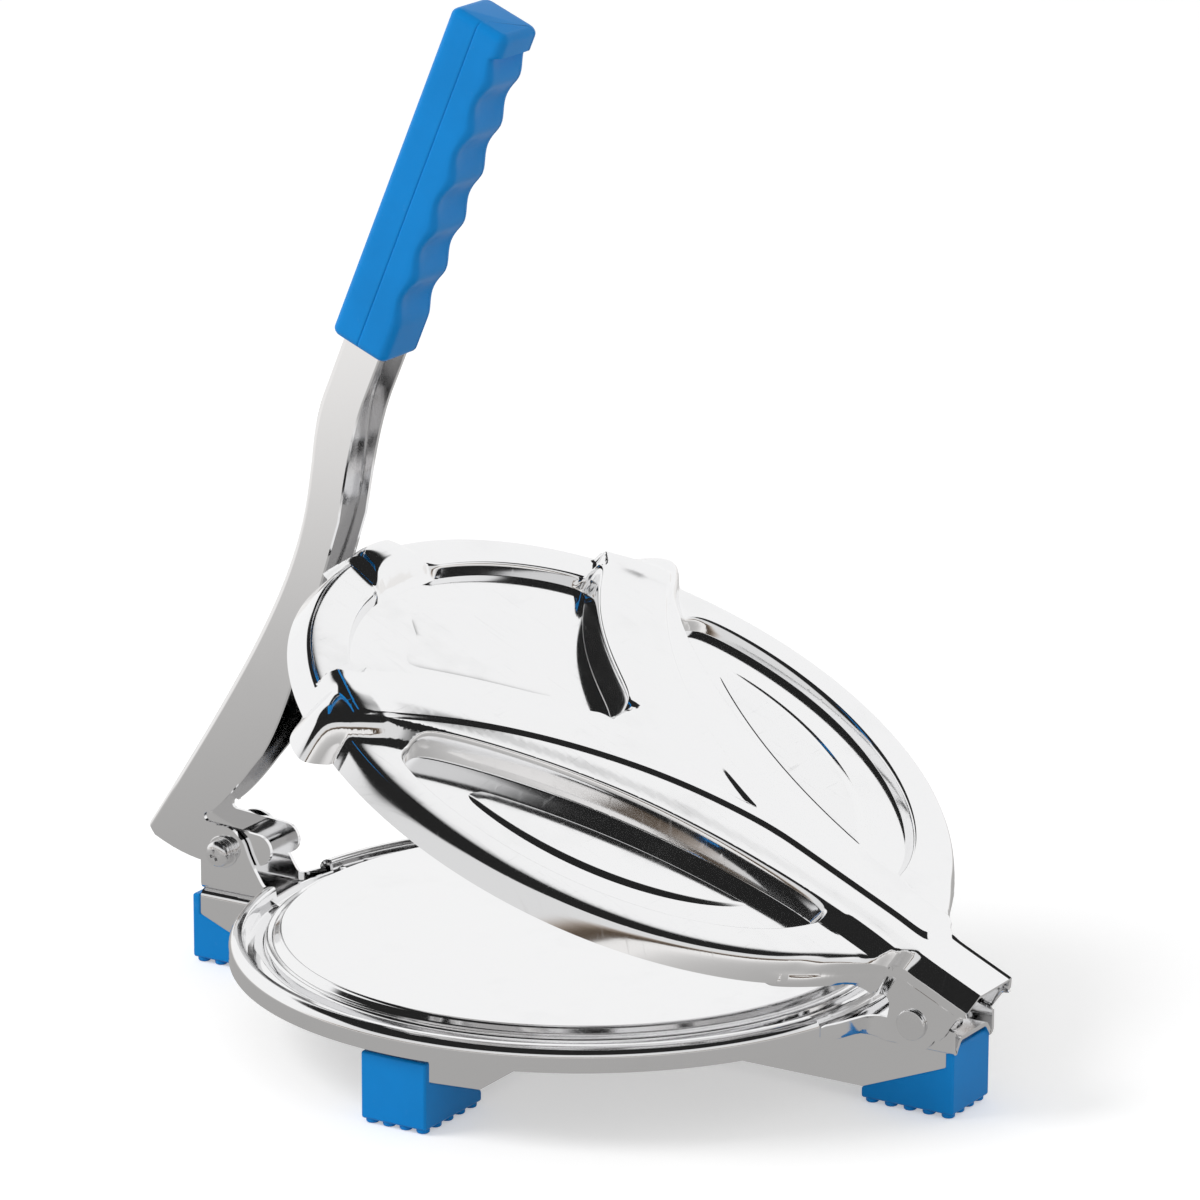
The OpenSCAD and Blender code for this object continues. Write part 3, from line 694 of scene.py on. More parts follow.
    def low_edge(self, u):
        """Height of the lid's lower edge: level round the rim, and hanging at the ears."""
        s = self.s
        hinge_u, hinge_h = HINGE.x, HINGE.z - s.edge_z
        round_ear = hinge_h - s.ear_r * np.sqrt(np.clip(1 - ((u - hinge_u) / s.ear_r) ** 2, 0, 1))
        left = np.interp(u, [93, 94.5, 96, 97.5, 99, 100.2, 101.2, 101.9, 102.3],
                         [0, -0.4, -1.5, -2.7, -3.5, -4.4, -5.6, -7, -8.6])
        right = np.interp(u, [117, 118, 119, 119.4, 119.7, 120.4, 121.6],
                          [-8.9, -7.4, -4.9, -2, 0.6, 2.3, 2.8])
        return np.where(u < self.ear_u[0], left, np.where(u > self.ear_u[1], right, round_ear))

    def top(self, u, v):
        """Height of the raised parts and the rim, without the pockets."""
        s = self.s
        w = np.abs(v)
        r = np.hypot(u, v)
        inner = self.off_arc(u, v, self.lens_c, self.lens_r)
        sides = self.arm_side(u, v)
        crown = s.stem_h + (s.arm_h - s.stem_h) * (1 - ease((u - 10) / 60)) - 0.9 * ease((u - 86) / 22)
        height = crown - s.band_fall * (1 - ease(inner / 9))
        bead = s.bead_h * ease((0.7 - self.bead_side(u, v)) / 1.6)
        inside = ease((0.6 - self.web_side(u, v)) / 1.8) * (1 - ease((u - 48) / 4))
        height = height + bead - inside * self.web_dip * ease((u - 22) / 16)
        height = height - 0.1 * (1 - ease(self.fan(u, v) / 12)) * (1 - ease((u - 10) / 20))
        foot = 9 - 6.8 * ease((r - 78) / 3.5)
        front = np.maximum(ease((foot + sides) / (0.6 * foot)), ease((u - self.tip_u + 6) / 6))
        arms = ease((inner + 6) / 6) * front
        arms = arms * (1 - ease((r - 82.2 - 8 * ease(self.lug_edge(u, v) / 2.5 + 1.2)) / 3.5))
        stem = (1 - ease((w - 14.5) / 6.5)) * ease((u - 60) / 5)
        raised = 1 - (1 - arms) * (1 - stem)
        return s.rim_h + (height - s.rim_h) * raised

    def edge(self, u, v):
        """Height that the skirt, or the neck's bevel and ears, allow near the outline."""
        swell = ease((u - 88) / 6) * (1 - ease((u - 96) / 9)) * (1 - ease((np.abs(v) - 17) / 7))
        inside = -self.outline_body(u, v) * (1 + 0.7 * swell)
        low = self.low_edge(u)
        knee, knee_h = self.knee(u)
        wall = low + (knee_h - low) * inside / knee
        bevel = knee_h + self.bevel_slope * (inside - knee)
        soft = 1.1 - 0.9 * ease((u - 88) / 10)
        return np.where(inside < self.neck_wall * 0.5, wall, soft_min(wall, bevel, soft) + soft * 0.2)

    def outline_body(self, u, v):
        """Outline of the rim and the neck alone."""
        round_edge = np.hypot(u, v) - self.s.edge_r
        side = np.abs(v) - self.s.neck_w - 0.8 * (1 - ease((u - self.neck_full) / 9))
        blend = 9 * ease((u - 55) / 30) * (1 - 0.85 * ease((u - 98) / 4))
        return np.where(u > 55, soft_min(round_edge, side, blend), round_edge)

    def height(self, u, v):
        """Height of the lid's upper side."""
        s = self.s
        panel = ease((u - 101.2) / 1.6) * ease((9 - np.abs(v)) / 1.7)
        top = self.top(u, v) - self.panel_dip * panel
        body = soft_min(top, self.edge(u, v), 1.2 - 0.8 * ease((u - 86) / 12))
        ramp = soft_min(self.lug_top, self.lug_slope * self.lug_edge(u, v), 5)
        ramp = ramp - self.root_drop * (1 - ease((self.lug(u, v)[0] - 66) / 16))
        body = soft_max(body, ramp, 1.2)
        nose = soft_min(s.nose_h, self.nose_slope * self.nose_edge(u, v), 5)
        nose = nose - self.root_drop * (1 - ease((-u - 69) / 14))
        body = soft_max(body, nose, 0.8)
        pocket = rise(np.minimum(self.lens_wall(u, v), self.fan_wall(u, v)) + 1, 0.1, 0.5)
        inner, outer = self.leaf(u, v)
        leaf = s.leaf_h * (0.25 * ease(-inner / self.leaf_step) + 0.75 * np.clip(-inner / 26, 0, 1))
        leaf = leaf * ease(-outer / self.leaf_slope) * ease((u + 14) / 9)
        leaf = np.maximum(leaf, 0.26 * s.leaf_h * ease((-self.fan(u, v) - 10) / 9))
        floor = s.floor_h + leaf
        return floor + (body - floor) * pocket

    def normal(self, u, v):
        """Outward normals of the lid's upper side."""
        d = 0.04
        du = (self.height(u + d, v) - self.height(u - d, v)) / (2 * d)
        dv = (self.height(u, v + d) - self.height(u, v - d)) / (2 * d)
        normals = np.stack([-du, -dv, np.ones_like(du)], 1)
        side = (u > 98) & (-self.outline_body(u, v) < self.neck_wall + 0.02)
        normals[side] = np.stack([np.zeros(side.sum()), np.sign(v[side]), np.full(side.sum(), 0.07)], 1)
        return normals / np.linalg.norm(normals, axis=1)[:, None]


def level_lines(measure, level, step, low, high):
    """Pieces of the line on which a measure has the given level, as points and pairs of them."""
    us = np.arange(low[0], high[0] + step, step)
    vs = np.arange(low[1], high[1] + step, step)
    value = measure(*np.meshgrid(us, vs)) - level
    value[value == 0] = 1e-9
    above = value > 0
    across = -np.ones(value.shape, int)
    upward = -np.ones(value.shape, int)
    i, j = np.nonzero(above[:, :-1] != above[:, 1:])
    share = np.clip(value[i, j] / (value[i, j] - value[i, j + 1]), 0, 1)
    across[i, j] = np.arange(len(i))
    on_rows = np.stack([us[j] + share * step, vs[i]], 1)
    k, m = np.nonzero(above[:-1, :] != above[1:, :])
    share = np.clip(value[k, m] / (value[k, m] - value[k + 1, m]), 0, 1)
    upward[k, m] = len(i) + np.arange(len(k))
    on_columns = np.stack([us[m], vs[k] + share * step], 1)
    cell = np.stack([across[:-1, :-1], across[1:, :-1], upward[:-1, :-1], upward[:-1, 1:]], 2).reshape(-1, 4)
    crossed = (cell >= 0).sum(1)
    return np.concatenate([on_rows, on_columns]), np.sort(cell, 1)[crossed == 2][:, 2:]


def lattice(step, low, high):
    """Places of a square lattice between two corners."""
    us, vs = (np.arange(low[i], high[i], step) for i in range(2))
    return np.stack(np.meshgrid(us, vs), 2).reshape(-1, 2)


class PRESS_OT_lid(Operator):
    """Pressed lid with its pockets, beads, lugs, nose and neck"""

    bl_idname = "press.lid"
    bl_label = "Lid"

    # Size of the cells in which points are merged, and the radius outside which the underside is sheet.
    merge = 0.05
    hollow_r = 83.15

    def lines(self, die):
        """The levels at which the sheet bends, each with its measure, spacing and extent."""

        def along(u, v):
            return u

        def across(u, v):
            return np.abs(v)

        def leaf_in(u, v):
            return die.leaf(u, v)[0] / die.leaf_step

        def leaf_out(u, v):
            return die.leaf(u, v)[1] / die.leaf_slope

        half = ((-108, 0), (124, 108))
        leaf = ((-16, 0), (62, 74))
        table = (
            ((0.0, -0.09, -0.18, -0.27, -0.36, -0.45, -0.7, -0.88, -0.94, -1.0, 0.25),
             (die.lens_wall, 1.0, half), (die.fan_wall, 0.8, ((-96, 0), (0, 84)))),
            ((0.7, 0.35, 0.0, -0.3, -0.6, -0.9), (die.bead_side, 1.1, ((-60, 0), (103, 90)))),
            ((0.6, 0.1, -0.5, -1.2), (die.web_side, 1.2, ((-60, 0), (52, 90)))),
            ((0.0, -0.15, -0.3, -0.7, -0.85, -1.0), (leaf_in, 1.1, leaf), (leaf_out, 1.1, leaf)),
            ((-10, -12.7, -16.3, -19, 3, 7, 12), (die.fan, 1.6, half)),
            ((83.2, 84.4, 85.7), (np.hypot, 1.2, half)),
            ((-5.6, -5.0, -4.4, -3.9, -3.5, -3.1, -2.7, -2.3, -1.9, -1.5, -1.0),
             (die.outline_body, 1.0, ((-108, 0), (96, 108)))),
            ((-5.2, -4.3, -3.6, -3.0, -2.4, -1.9, -1.4, -1.0, -0.7, -0.5, -0.4),
             (die.outline_body, 0.6, ((86, 0), (124, 30)))),
            ((-0.3, -0.6, -0.85, -1, -1.15, -1.4, -1.8, -2.4, -3.2, -4.4, -6, -8, -10.5),
             (die.skirt, 0.6, ((74, 0), (123, 44)))),
            ((0.5, 1.1, 1.7, 2.3, 2.9, 3.6, 4.5),
             (die.lug_edge, 0.8, ((-72, 56), (-24, 110))), (die.nose_edge, 0.8, ((-106, 0), (-84, 16)))),
            ((14.5, 15.7, 16.9, 18.6, 19.8, 21.0), (across, 0.8, ((76, 0), (98, 26)))),
            ((9.0, 8.6, 8.1, 7.7, 7.3), (across, 0.8, ((101, 0), (124, 12)))),
            ((98, 98.7, 99.4, 100.1, 100.8, 101.5, 102.25, 102.5, 103, 104, 115, 116.2, 116.8, 117.0,
              119.0, 119.4, 119.6, 120.4), (along, 0.8, ((98, 0), (124, 14)))),
            ((0.0,), (die.outline, 0.6, half)),
        )
        return [(measure, level, step, *extent)
                for levels, *uses in table for level in levels for measure, step, extent in uses]

    def plan(self, die):
        """The lid's plan as triangles, split along every line where the sheet bends."""
        points = []
        pairs = []
        count = 0
        for rule in self.lines(die):
            spots, ends = level_lines(*rule)
            spots[np.abs(spots[:, 1]) < 0.12, 1] = 0
            keep = die.outline(*spots.T) < 0.03
            ends = ends[keep[ends].all(1)]
            for side in (1, -1):
                points.append(spots * (1, side))
                pairs.append(ends + count)
                count += len(spots)
        for step, low, high in ((1.9, (-105, -106), (122, 106)), (0.8, (-70, 58), (-24, 106)),
                                (0.8, (-70, -106), (-24, -58)), (0.8, (-104, -18), (-78, 18)),
                                (0.9, (74, -26), (121, 26))):
            field = lattice(step, low, high)
            u, v = field.T
            fine = (np.hypot(u, v) > 74) | (step > 1)
            plain = (step < 1) | (np.maximum(*die.leaf(u, v)) > 0)
            flat = (np.minimum(die.lens(u, v), die.fan(u, v)) < -4) & plain
            points.append(field[(die.outline(u, v) < -0.45) & fine & ~flat])
        field = lattice(5.0, (-105, -104), (122, 105))
        points.append(field[die.outline(*field.T) < -6])
        points = np.concatenate(points)
        cells = np.round(points / self.merge).astype(int)
        _, first, where = np.unique(cells, axis=0, return_index=True, return_inverse=True)
        pairs = where.ravel()[np.concatenate(pairs)]
        pairs = pairs[pairs[:, 0] != pairs[:, 1]]
        spots, _, faces, *_ = delaunay_2d_cdt([Vector(p) for p in points[first]], pairs.tolist(), [], 0, 1e-4)
        spots = np.array([tuple(p) for p in spots])
        faces = np.array([face for face in faces if len(face) == 3])
        return spots, faces[die.outline(*spots[faces].mean(1).T) < 0]

    def close(self, shell, die, r, s):
        """Walls up the sheet's edge, and closes its underside over the pressing pan."""
        work = bmesh.new()
        work.from_mesh(shell)
        work.verts.ensure_lookup_table()
        count = len(r)

        def over_pan(point):
            return point.index >= count and r[point.index - count] < self.hollow_r + 0.85

        for edge in [e for e in work.edges if e.is_boundary and max(p.index for p in e.verts) < count]:
            ends = np.array([tuple(point.co.xy) for point in edge.verts])
            if die.outline(*ends.T).min() > -0.3:
                loop = edge.link_loops[0]
                first, second = loop.vert, loop.link_loop_next.vert
                below = [work.verts[point.index + count] for point in (first, second)]
                work.faces.new((second, first, *below))
        made = {}
        hub = work.verts.new((0, 0, s.edge_z + s.floor_h - s.sheet - 0.7))
        for edge in [e for e in work.edges if e.is_boundary and all(over_pan(point) for point in e.verts)]:
            loop = edge.link_loops[0]
            first, second = loop.vert, loop.link_loop_next.vert
            for point in (first, second):
                if point not in made:
                    scale = (s.pocket_r - die.fan_inset) / point.co.xy.length
                    made[point] = work.verts.new((point.co.x * scale, point.co.y * scale, hub.co.z))
            work.faces.new((second, first, made[first], made[second]))
            work.faces.new((made[second], made[first], hub))
        loose = [point for point in work.verts if not point.link_faces]
        bmesh.ops.delete(work, geom=loose, context="VERTS")
        work.to_mesh(shell)
        work.free()

    def shade(self, shell, die, s):
        """Gives the sheet its pressed normals."""
        co = np.array([tuple(point.co) for point in shell.vertices])
        own = np.array([tuple(point.normal) for point in shell.vertices])
        u, v, z = co[:, 0], co[:, 1], co[:, 2] - s.edge_z
        pressed = die.normal(u, v)
        outer = np.abs(die.height(u, v) - z) < 0.02
        normals = []
        for face in shell.polygons:
            face.use_smooth = True
            flat = tuple(face.normal)
            for index in face.vertices:
                if face.normal.z > 0.02 and outer[index]:
                    normals.append(tuple(pressed[index]))
                elif outer[index] or face.normal.z > -0.02:
                    normals.append(flat)
                else:
                    normals.append(tuple(own[index]) if own[index] @ np.array(flat) > 0.7 else flat)
        shell.normals_split_custom_set(normals)

    def execute(self, context):
        s = in_mm(context.scene.press_lid)
        die = Die(s)
        spots, faces = self.plan(die)
        used, faces = np.unique(faces, return_inverse=True)
        faces = faces.reshape(-1, 3)
        u, v = spots[used].T
        height = die.height(u, v)
        level_edge = (die.outline(u, v) > -0.04) & (die.outline_body(u, v) > -0.05) & (u > -98)
        height = np.where(level_edge, np.minimum(height, die.low_edge(u)), height)
        upper = np.stack([u, v, height + s.edge_z], 1)
        lower = upper - die.normal(u, v) * s.sheet
        r = np.hypot(u, v)
        under = faces[(r[faces] >= self.hollow_r).all(1)][:, ::-1] + len(upper)
        shell = bpy.data.meshes.new("Lid_shell")
        points = np.concatenate([upper, lower]).tolist()
        shell.from_pydata(points, [], np.concatenate([faces, under]).tolist())
        shell.update()
        piece = bpy.data.objects.new("Lid_shell", shell)
        context.scene.collection.objects.link(piece)
        self.close(shell, die, r, s)
        self.shade(shell, die, s)
        shell.transform(OPEN_TURN)
        finish_piece(piece, "lid", "steel_sheet")
        return {"FINISHED"}


class PRESS_OT_press_pan(Operator):
    """Shallow pan under the lid that carries the upper pressing face"""

    bl_idname = "press.press_pan"
    bl_label = "Press pan"

    def execute(self, context):
        s = in_mm(context.scene.press_lid)
        plate = in_mm(context.scene.press_plate)
        edge = plate.press_r
        top = s.edge_z + s.floor_h + 0.2
        line = [(0, s.face_gap), (edge - 8, s.face_gap), (edge - 1.9, s.face_gap)]
        line += arc(edge - 1.4, s.face_gap + 1.4, 1.4, -84, -6, 6)
        line += [(edge, s.face_gap + 1.9), (edge, top), (edge - 1, top)]
        pan = turned("Press_pan", [(r, 0, z) for r, z in line], plate.steps)
        pick(pan, "VERT", lambda point: abs(point.co.z - top) < 0.01 and point.co.xy.length < edge - 0.5)
        bpy.ops.mesh.edge_face_add()
        clean(pan)
        smooth(pan)
        pan.data.transform(OPEN_TURN)
        finish_piece(pan, "lid", "steel_sheet", "lid_press_plate")
        return {"FINISHED"}


# ---- lever ----


# Where the grip's lower end crosses the lever's middle line, from the pivot.
GRIP_FOOT = (36.4, 152.9)


def at_lever(x, z):
    """A place on the lever, from its pivot."""
    return x + PIVOT.x, z + PIVOT.z


def drawn(n, *points):
    """A curve on the lever, from its pivot."""
    return curve([at_lever(x, z) for x, z in points], n)


class PRESS_OT_lever(Operator):
    """Folded lever with its boot, arm, tang and two fingers"""

    bl_idname = "press.lever"
    bl_label = "Lever"

    def outline(self, s):
        """The lever's side view as its back and its open front."""
        foot = at_lever(*GRIP_FOOT)
        along = (math.sin(s.lean), math.cos(s.lean))
        back = (-along[1], along[0])
        tang = [[tuple(foot[i] + x * along[i] - y * back[i] for i in range(2)) for x in (-2, 62)]
                for y in (s.grip_back, s.grip_back + 12.4)]
        rear = [at_lever(-26.7, 3.3)]
        rear += drawn(28, (-19.5, 14.2), (11.2, 61), (24, 84), (27.6, 108))
        rear += drawn(10, (28.8, 116), (29.9, 126), (31, 131), (34.2, 138.2)) + tang[0]
        front = tang[1][::-1]
        front += drawn(12, (45.8, 134.1), (42, 124.6), (40, 113.5), (37.6, 99.5))
        front += drawn(20, (33.9, 88), (27.5, 68), (19.8, 41), (11.5, 29))[1:]
        front += drawn(8, (7.8, 24.5), (2, 17), (-2.5, 12.4), (-5.4, 10.2))
        front += arc(*at_lever(-6.1, 8.6), 1.5, 60, 270, 8)
        front += arc(*at_lever(10.2, 1.5), 4.4, 88, -70, 12)
        front += drawn(10, (5, -4.1), (-6, -5.6), (-14, -4.6), (-24.4, 0.2))
        return rear, front

    def execute(self, context):
        s = in_mm(context.scene.press_lever)
        rear, front = self.outline(s)
        lever = slab("Lever_channel", rear + front, s.width)
        half = s.width / 2 - 0.01

        def on_back(part):
            return all(min(math.hypot(co.x - x, co.z - z) for x, z in rear) < 0.05
                       for co in places(lever, part))

        def beside(edge):
            a, b = places(lever, edge)
            return a.y * b.y > half * half

        pick(lever, "FACE", lambda face: abs(face.normal.y) <= 0.5 and not on_back(face))
        bpy.ops.mesh.delete(type="FACE")
        pick(lever, "EDGE", lambda edge: beside(edge) and on_back(edge))
        bpy.ops.mesh.bevel(offset=s.fold_r, segments=4, affect="EDGES")
        clean(lever)
        modify(lever, "SOLIDIFY", thickness=s.sheet, offset=-1, use_even_offset=True)
        smooth(lever, 30)
        finish_piece(lever, "lever", "steel_sheet")
        return {"FINISHED"}


class PRESS_OT_grip(Operator):
    """Moulded grip with finger grooves and a parting line"""

    bl_idname = "press.grip"
    bl_label = "Grip"

    round_r = 2.2
    rings_apart = 1.05
    finger_r = 5.5

    def section(self, s, inset):
        """Places round the grip, drawn in by inset: depth and width."""
        d, w = s.grip_d / 2 - inset, s.grip_w / 2 - inset
        r = max(s.corner_r - inset * 0.6, 0.4)
        points = []
        for sx, sy, start in ((1, 1, 0), (-1, 1, 90), (-1, -1, 180), (1, -1, 270)):
            points += arc(sx * (d - r), sy * (w - r), r, start, start + 90, 5)
            if sy * sx > 0:
                for share in (0.12, 0.3, 0.45, 0.485, 0.5, 0.515, 0.55, 0.7, 0.88):
                    seam = 0.22 if share == 0.5 else 0
                    points.append((sx * (d - r) * (1 - 2 * share), sy * (w - seam)))
            else:
                points += [(sx * d, sy * (w - r) * (1 - 0.2 * i)) for i in range(1, 10)]
        return points

    def stations(self, s):
        """Distances along the grip at which it has a ring of points."""
        ends = [self.round_r * (1 - math.cos(math.radians(a))) for a in (0, 20, 40, 60, 75)]
        straight = s.grip_l - 2 * self.round_r
        steps = int(straight / self.rings_apart)
        return sorted({*ends, *(s.grip_l - x for x in ends),
                       *(self.round_r + i * straight / steps for i in range(steps + 1))})

    def ring(self, s, z):
        """The ring of points at one distance along the grip."""
        lack = max(self.round_r - min(z, s.grip_l - z), 0)
        inset = self.round_r - math.sqrt(max(self.round_r ** 2 - lack ** 2, 0))
        phase = (z - (s.grip_l - 14 - 4.5 * s.pitch)) / s.pitch
        depth = s.groove * (0.5 + 0.5 * math.cos(2 * math.pi * phase)) ** 0.85 if -0.5 < phase < 4.95 else 0
        points = []
        for x, y in self.section(s, inset):
            front = max(0.0, min(1.0, (x - (s.grip_d / 2 - self.finger_r)) / self.finger_r))
            fade = 1 - 0.42 * (abs(y) / (s.grip_w / 2)) ** 3
            points.append((x - depth * fade * front ** 0.7, y, z))
        return points

    def execute(self, context):
        s = in_mm(context.scene.press_lever)
        rings = [self.ring(s, z) for z in self.stations(s)]
        grip = add_ring("Lever_grip", rings[0], filled=True)
        all_of(grip)
        for ring in rings[1:]:
            total = len(grip.data.vertices)
            bpy.ops.object.mode_set(mode="EDIT")
            bpy.ops.mesh.extrude_region_move(TRANSFORM_OT_translate={"value": (0, 0, 1)})
            bpy.ops.object.mode_set(mode="OBJECT")
            for point, place in zip([p for p in grip.data.vertices if p.index >= total], ring):
                point.co = place
        clean(grip, 0.001)
        hold(grip)
        bpy.ops.object.shade_smooth_by_angle(angle=math.radians(50))
        foot = at_lever(*GRIP_FOOT)
        move(grip, (s.grip_d / 2, 0, 0))
        turn(grip, math.degrees(s.lean), "Y")
        move(grip, (foot[0], 0, foot[1]))
        finish_piece(grip, "lever", "blue_plastic")
        return {"FINISHED"}


# ---- small parts ----


def pin(name, line, centre, side, steps=64):
    """A piece turned about a line along Y: radius and distance outwards, on the given side."""
    piece = turned(name, [(r, side * out, 0) for r, out in line], steps, axis=(0, 1, 0))
    move(piece, centre)
    return piece


class PRESS_OT_rivets(Operator):
    """Two domed rivets that the lid turns on"""

    bl_idname = "press.rivets"
    bl_label = "Hinge rivets"

    def execute(self, context):
        s = in_mm(context.scene.press_fastener)
        for side, name in ((-1, "front"), (1, "back")):
            out = s.ear_out
            line = [(0, s.wall_in - 1.2), (s.tail_r - 0.4, s.wall_in - 1.2), (s.tail_r, s.wall_in - 0.8),
                    (s.tail_r, s.wall_in), (s.shank_r, s.wall_in), (s.shank_r, out), (s.rivet_r - 0.25, out)]
            line += [(s.rivet_r, out + 0.1), (s.rivet_r, out + s.rivet_h - 0.7)]
            line += arc(s.rivet_r - 0.5, out + s.rivet_h - 0.68, 0.5, 10, 80, 4)
            line += [(s.rivet_r * 0.5, out + s.rivet_h - 0.06), (0, out + s.rivet_h)]
            rivet = pin("Hinge_rivet_" + name, line, HINGE, side)
            smooth(rivet, 40)
            finish_piece(rivet, "base", "steel_fasteners")
        return {"FINISHED"}


class PRESS_OT_pivot(Operator):
    """Bush, screw, nut and washers that the lever turns on"""

    bl_idname = "press.pivot"
    bl_label = "Lever pivot"

    # Half the length of the bush.
    bush_half = 8

    def fit(self, piece, angle=35):
        """Shades a piece of the pivot and hands it to the base."""
        smooth(piece, angle)
        finish_piece(piece, "base", "steel_fasteners")

    def carve(self, piece, tool):
        """Cuts the tool's form out of the piece."""
        modify(piece, "BOOLEAN", operation="DIFFERENCE", object=tool, solver="EXACT")
        bpy.data.objects.remove(tool)

    def recess(self, face, degrees):
        """One tapered blade of the cross that is driven into the screw's head."""
        deselect()
        bpy.ops.mesh.primitive_cube_add(size=1)
        blade = named("Recess")
        lay(blade, [(x * 2.1, 0.8, z * 0.45) if y > 0 else (x, -1.1, z * 0.45)
                    for x in (-1, 1) for y in (-1, 1) for z in (-1, 1)])
        turn(blade, degrees, "Y")
        turn(blade, 180, "Z")
        move(blade, (PIVOT.x, -face, PIVOT.z))
        clean(blade)
        return blade

    def bush(self, s):
        """The bush that the lever turns on."""
        end = self.bush_half
        line = [(s.shank_r, -end), (s.bush_r, -end), (s.bush_r, end), (s.shank_r, end), (s.shank_r, -end)]
        self.fit(pin("Pivot_bush", line, PIVOT, 1))

    def washers(self, s, near, far):
        """The flat washers outside both ears."""
        line = [(s.shank_r, near), (s.washer_r - 0.15, near), (s.washer_r, near + 0.15),
                (s.washer_r, far - 0.25), (s.washer_r - 0.12, far - 0.08), (s.washer_r - 0.3, far),
                (s.shank_r, far), (s.shank_r, near)]
        for side, name in ((-1, "front"), (1, "back")):
            self.fit(pin("Pivot_washer_" + name, line, PIVOT, side))

    def spring(self, s, near, far):
        """The split spring washer: a square section spun almost all the way round."""
        ring = [(s.spring_r - 1.2, near), (s.spring_r, near), (s.spring_r, far), (s.spring_r - 1.2, far)]
        spring = add_ring("Pivot_spring_washer", [(r, -out, 0) for r, out in ring], filled=True)
        all_of(spring)
        bpy.ops.mesh.spin(steps=44, angle=math.radians(346), center=(0, 0, 0), axis=(0, 1, 0))
        clean(spring)
        turn(spring, 150, "Y")
        move(spring, PIVOT)
        soften(spring, 0.12, 2, 50)
        self.fit(spring)

    def screw(self, s, under):
        """The screw, with its domed head and its recess."""
        tail = -s.ear_face - 4.6
        face = under + s.head_h
        line = [(0, tail), (s.shank_r - 0.3, tail), (s.shank_r, tail + 0.4),
                (s.shank_r, under), (s.head_r - 0.1, under), (s.head_r, under + 0.2)]
        line += curve([(s.head_r, under + 0.9), (s.head_r - 0.1, face - 0.6), (s.head_r - 0.9, face - 0.05),
                       (s.head_r - 2, face)], 7)
        screw = pin("Pivot_screw", line + [(0, face + 0.05)], PIVOT, -1)
        for degrees in (20, 110):
            self.carve(screw, self.recess(face, degrees))
        self.fit(screw, 30)

    def nut(self, s, near):
        """The hexagon nut with its bore."""
        deselect()
        bpy.ops.mesh.primitive_cylinder_add(vertices=6, radius=s.nut_af / math.sqrt(3), depth=s.nut_h,
                                            rotation=(math.pi / 2, 0, 0))
        nut = named("Pivot_nut")
        bpy.ops.object.transform_apply(location=True, rotation=True, scale=True)
        move(nut, (PIVOT.x, near + s.nut_h / 2, PIVOT.z))
        soften(nut, 0.35, 3, 30)
        bore_r, far = s.shank_r + 0.02, near + s.nut_h + 1
        line = [(0, near - 1), (bore_r, near - 1), (bore_r, far), (0, far)]
        self.carve(nut, pin("Bore", line, PIVOT, 1, 48))
        self.fit(nut, 30)

    def execute(self, context):
        s = in_mm(context.scene.press_fastener)
        washed = s.ear_face + s.washer_t
        sprung = washed + s.spring_t
        self.bush(s)
        self.washers(s, s.ear_face, washed)
        self.spring(s, washed, sprung)
        self.screw(s, sprung)
        self.nut(s, washed)
        return {"FINISHED"}


# ---- braces ----


class PRESS_OT_braces(Operator):
    """Two folded steel braces that cross under the base plate"""

    bl_idname = "press.braces"
    bl_label = "Braces"

    def brace(self, name, reach, top, low, s):
        """A channel along X, open below, with slanted ends."""
        deselect()
        bpy.ops.mesh.primitive_cube_add(size=1)
        piece = named(name)
        half = s.brace_w / 2
        lay(piece, [(x * reach, y * half, z) for x in (-1, 1) for y in (-1, 1) for z in (low, top)])

        def upper_side(edge):
            a, b = places(piece, edge)
            return min(a.z, b.z) > top - 0.1 and abs(a.y - b.y) < 0.1

        pick(piece, "EDGE", upper_side)
        bpy.ops.mesh.bevel(offset=s.brace_fold, segments=6, affect="EDGES")
        for side in (-1, 1):
            all_of(piece)
            bpy.ops.mesh.bisect(plane_co=(side * reach, 0, low + s.slant_rise), clear_outer=True,
                                plane_no=Vector((side * s.slant_rise, 0, -s.slant_run)).normalized())
        pick(piece, "FACE", lambda face: face.normal.z < -0.3 or abs(face.normal.x) > 0.9
             or face.center.z < low + 0.05)
        bpy.ops.mesh.delete(type="FACE")
        clean(piece)
        modify(piece, "SOLIDIFY", thickness=s.brace_sheet, offset=-1, use_even_offset=True)
        smooth(piece)
        return piece

    def execute(self, context):
        s = in_mm(context.scene.press_brace)
        for name, axis, degrees in (("long_brace", 0, 0), ("cross_brace", 1, 90)):
            low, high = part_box(name)
            piece = self.brace(name.capitalize(), high[axis] / MM, high.z / MM, low.z / MM, s)
            turn(piece, degrees, "Z")
            finish_piece(piece, "base", "steel_sheet")
        return {"FINISHED"}


def trough(name, stations, sheet):
    """A folded channel laid out from its stations.

    Each has its place along X, half width, floor, low corner, wall top and half the floor's width."""
    lines = []
    for x, half, floor, low, top, ledge in stations:
        r = min(1.8, 0.42 * (top - low))
        side = [(half, top), (half, (top + low + r) / 2)]
        side += [(half - r + y, low + r + z) for y, z in arc(0, 0, r, 0, -90, 5)]
        side += [(half - r - 0.4, low), (ledge + 1.4, low + 0.35 * (floor - low)),
                 (ledge, floor - 0.1 * (floor - low)), (ledge - 0.8, floor), (ledge * 0.5, floor)]
        lines.append([(x, -y, z) for y, z in side] + [(x, 0, floor)] + [(x, y, z) for y, z in reversed(side)])
    piece = skin(name, lines)
    if sum(face.normal.z * face.area for face in piece.data.polygons) > 0:
        all_of(piece)
        bpy.ops.mesh.flip_normals()
        deselect()
    modify(piece, "SOLIDIFY", thickness=sheet, offset=-1)
    smooth(piece, 40)
    return piece


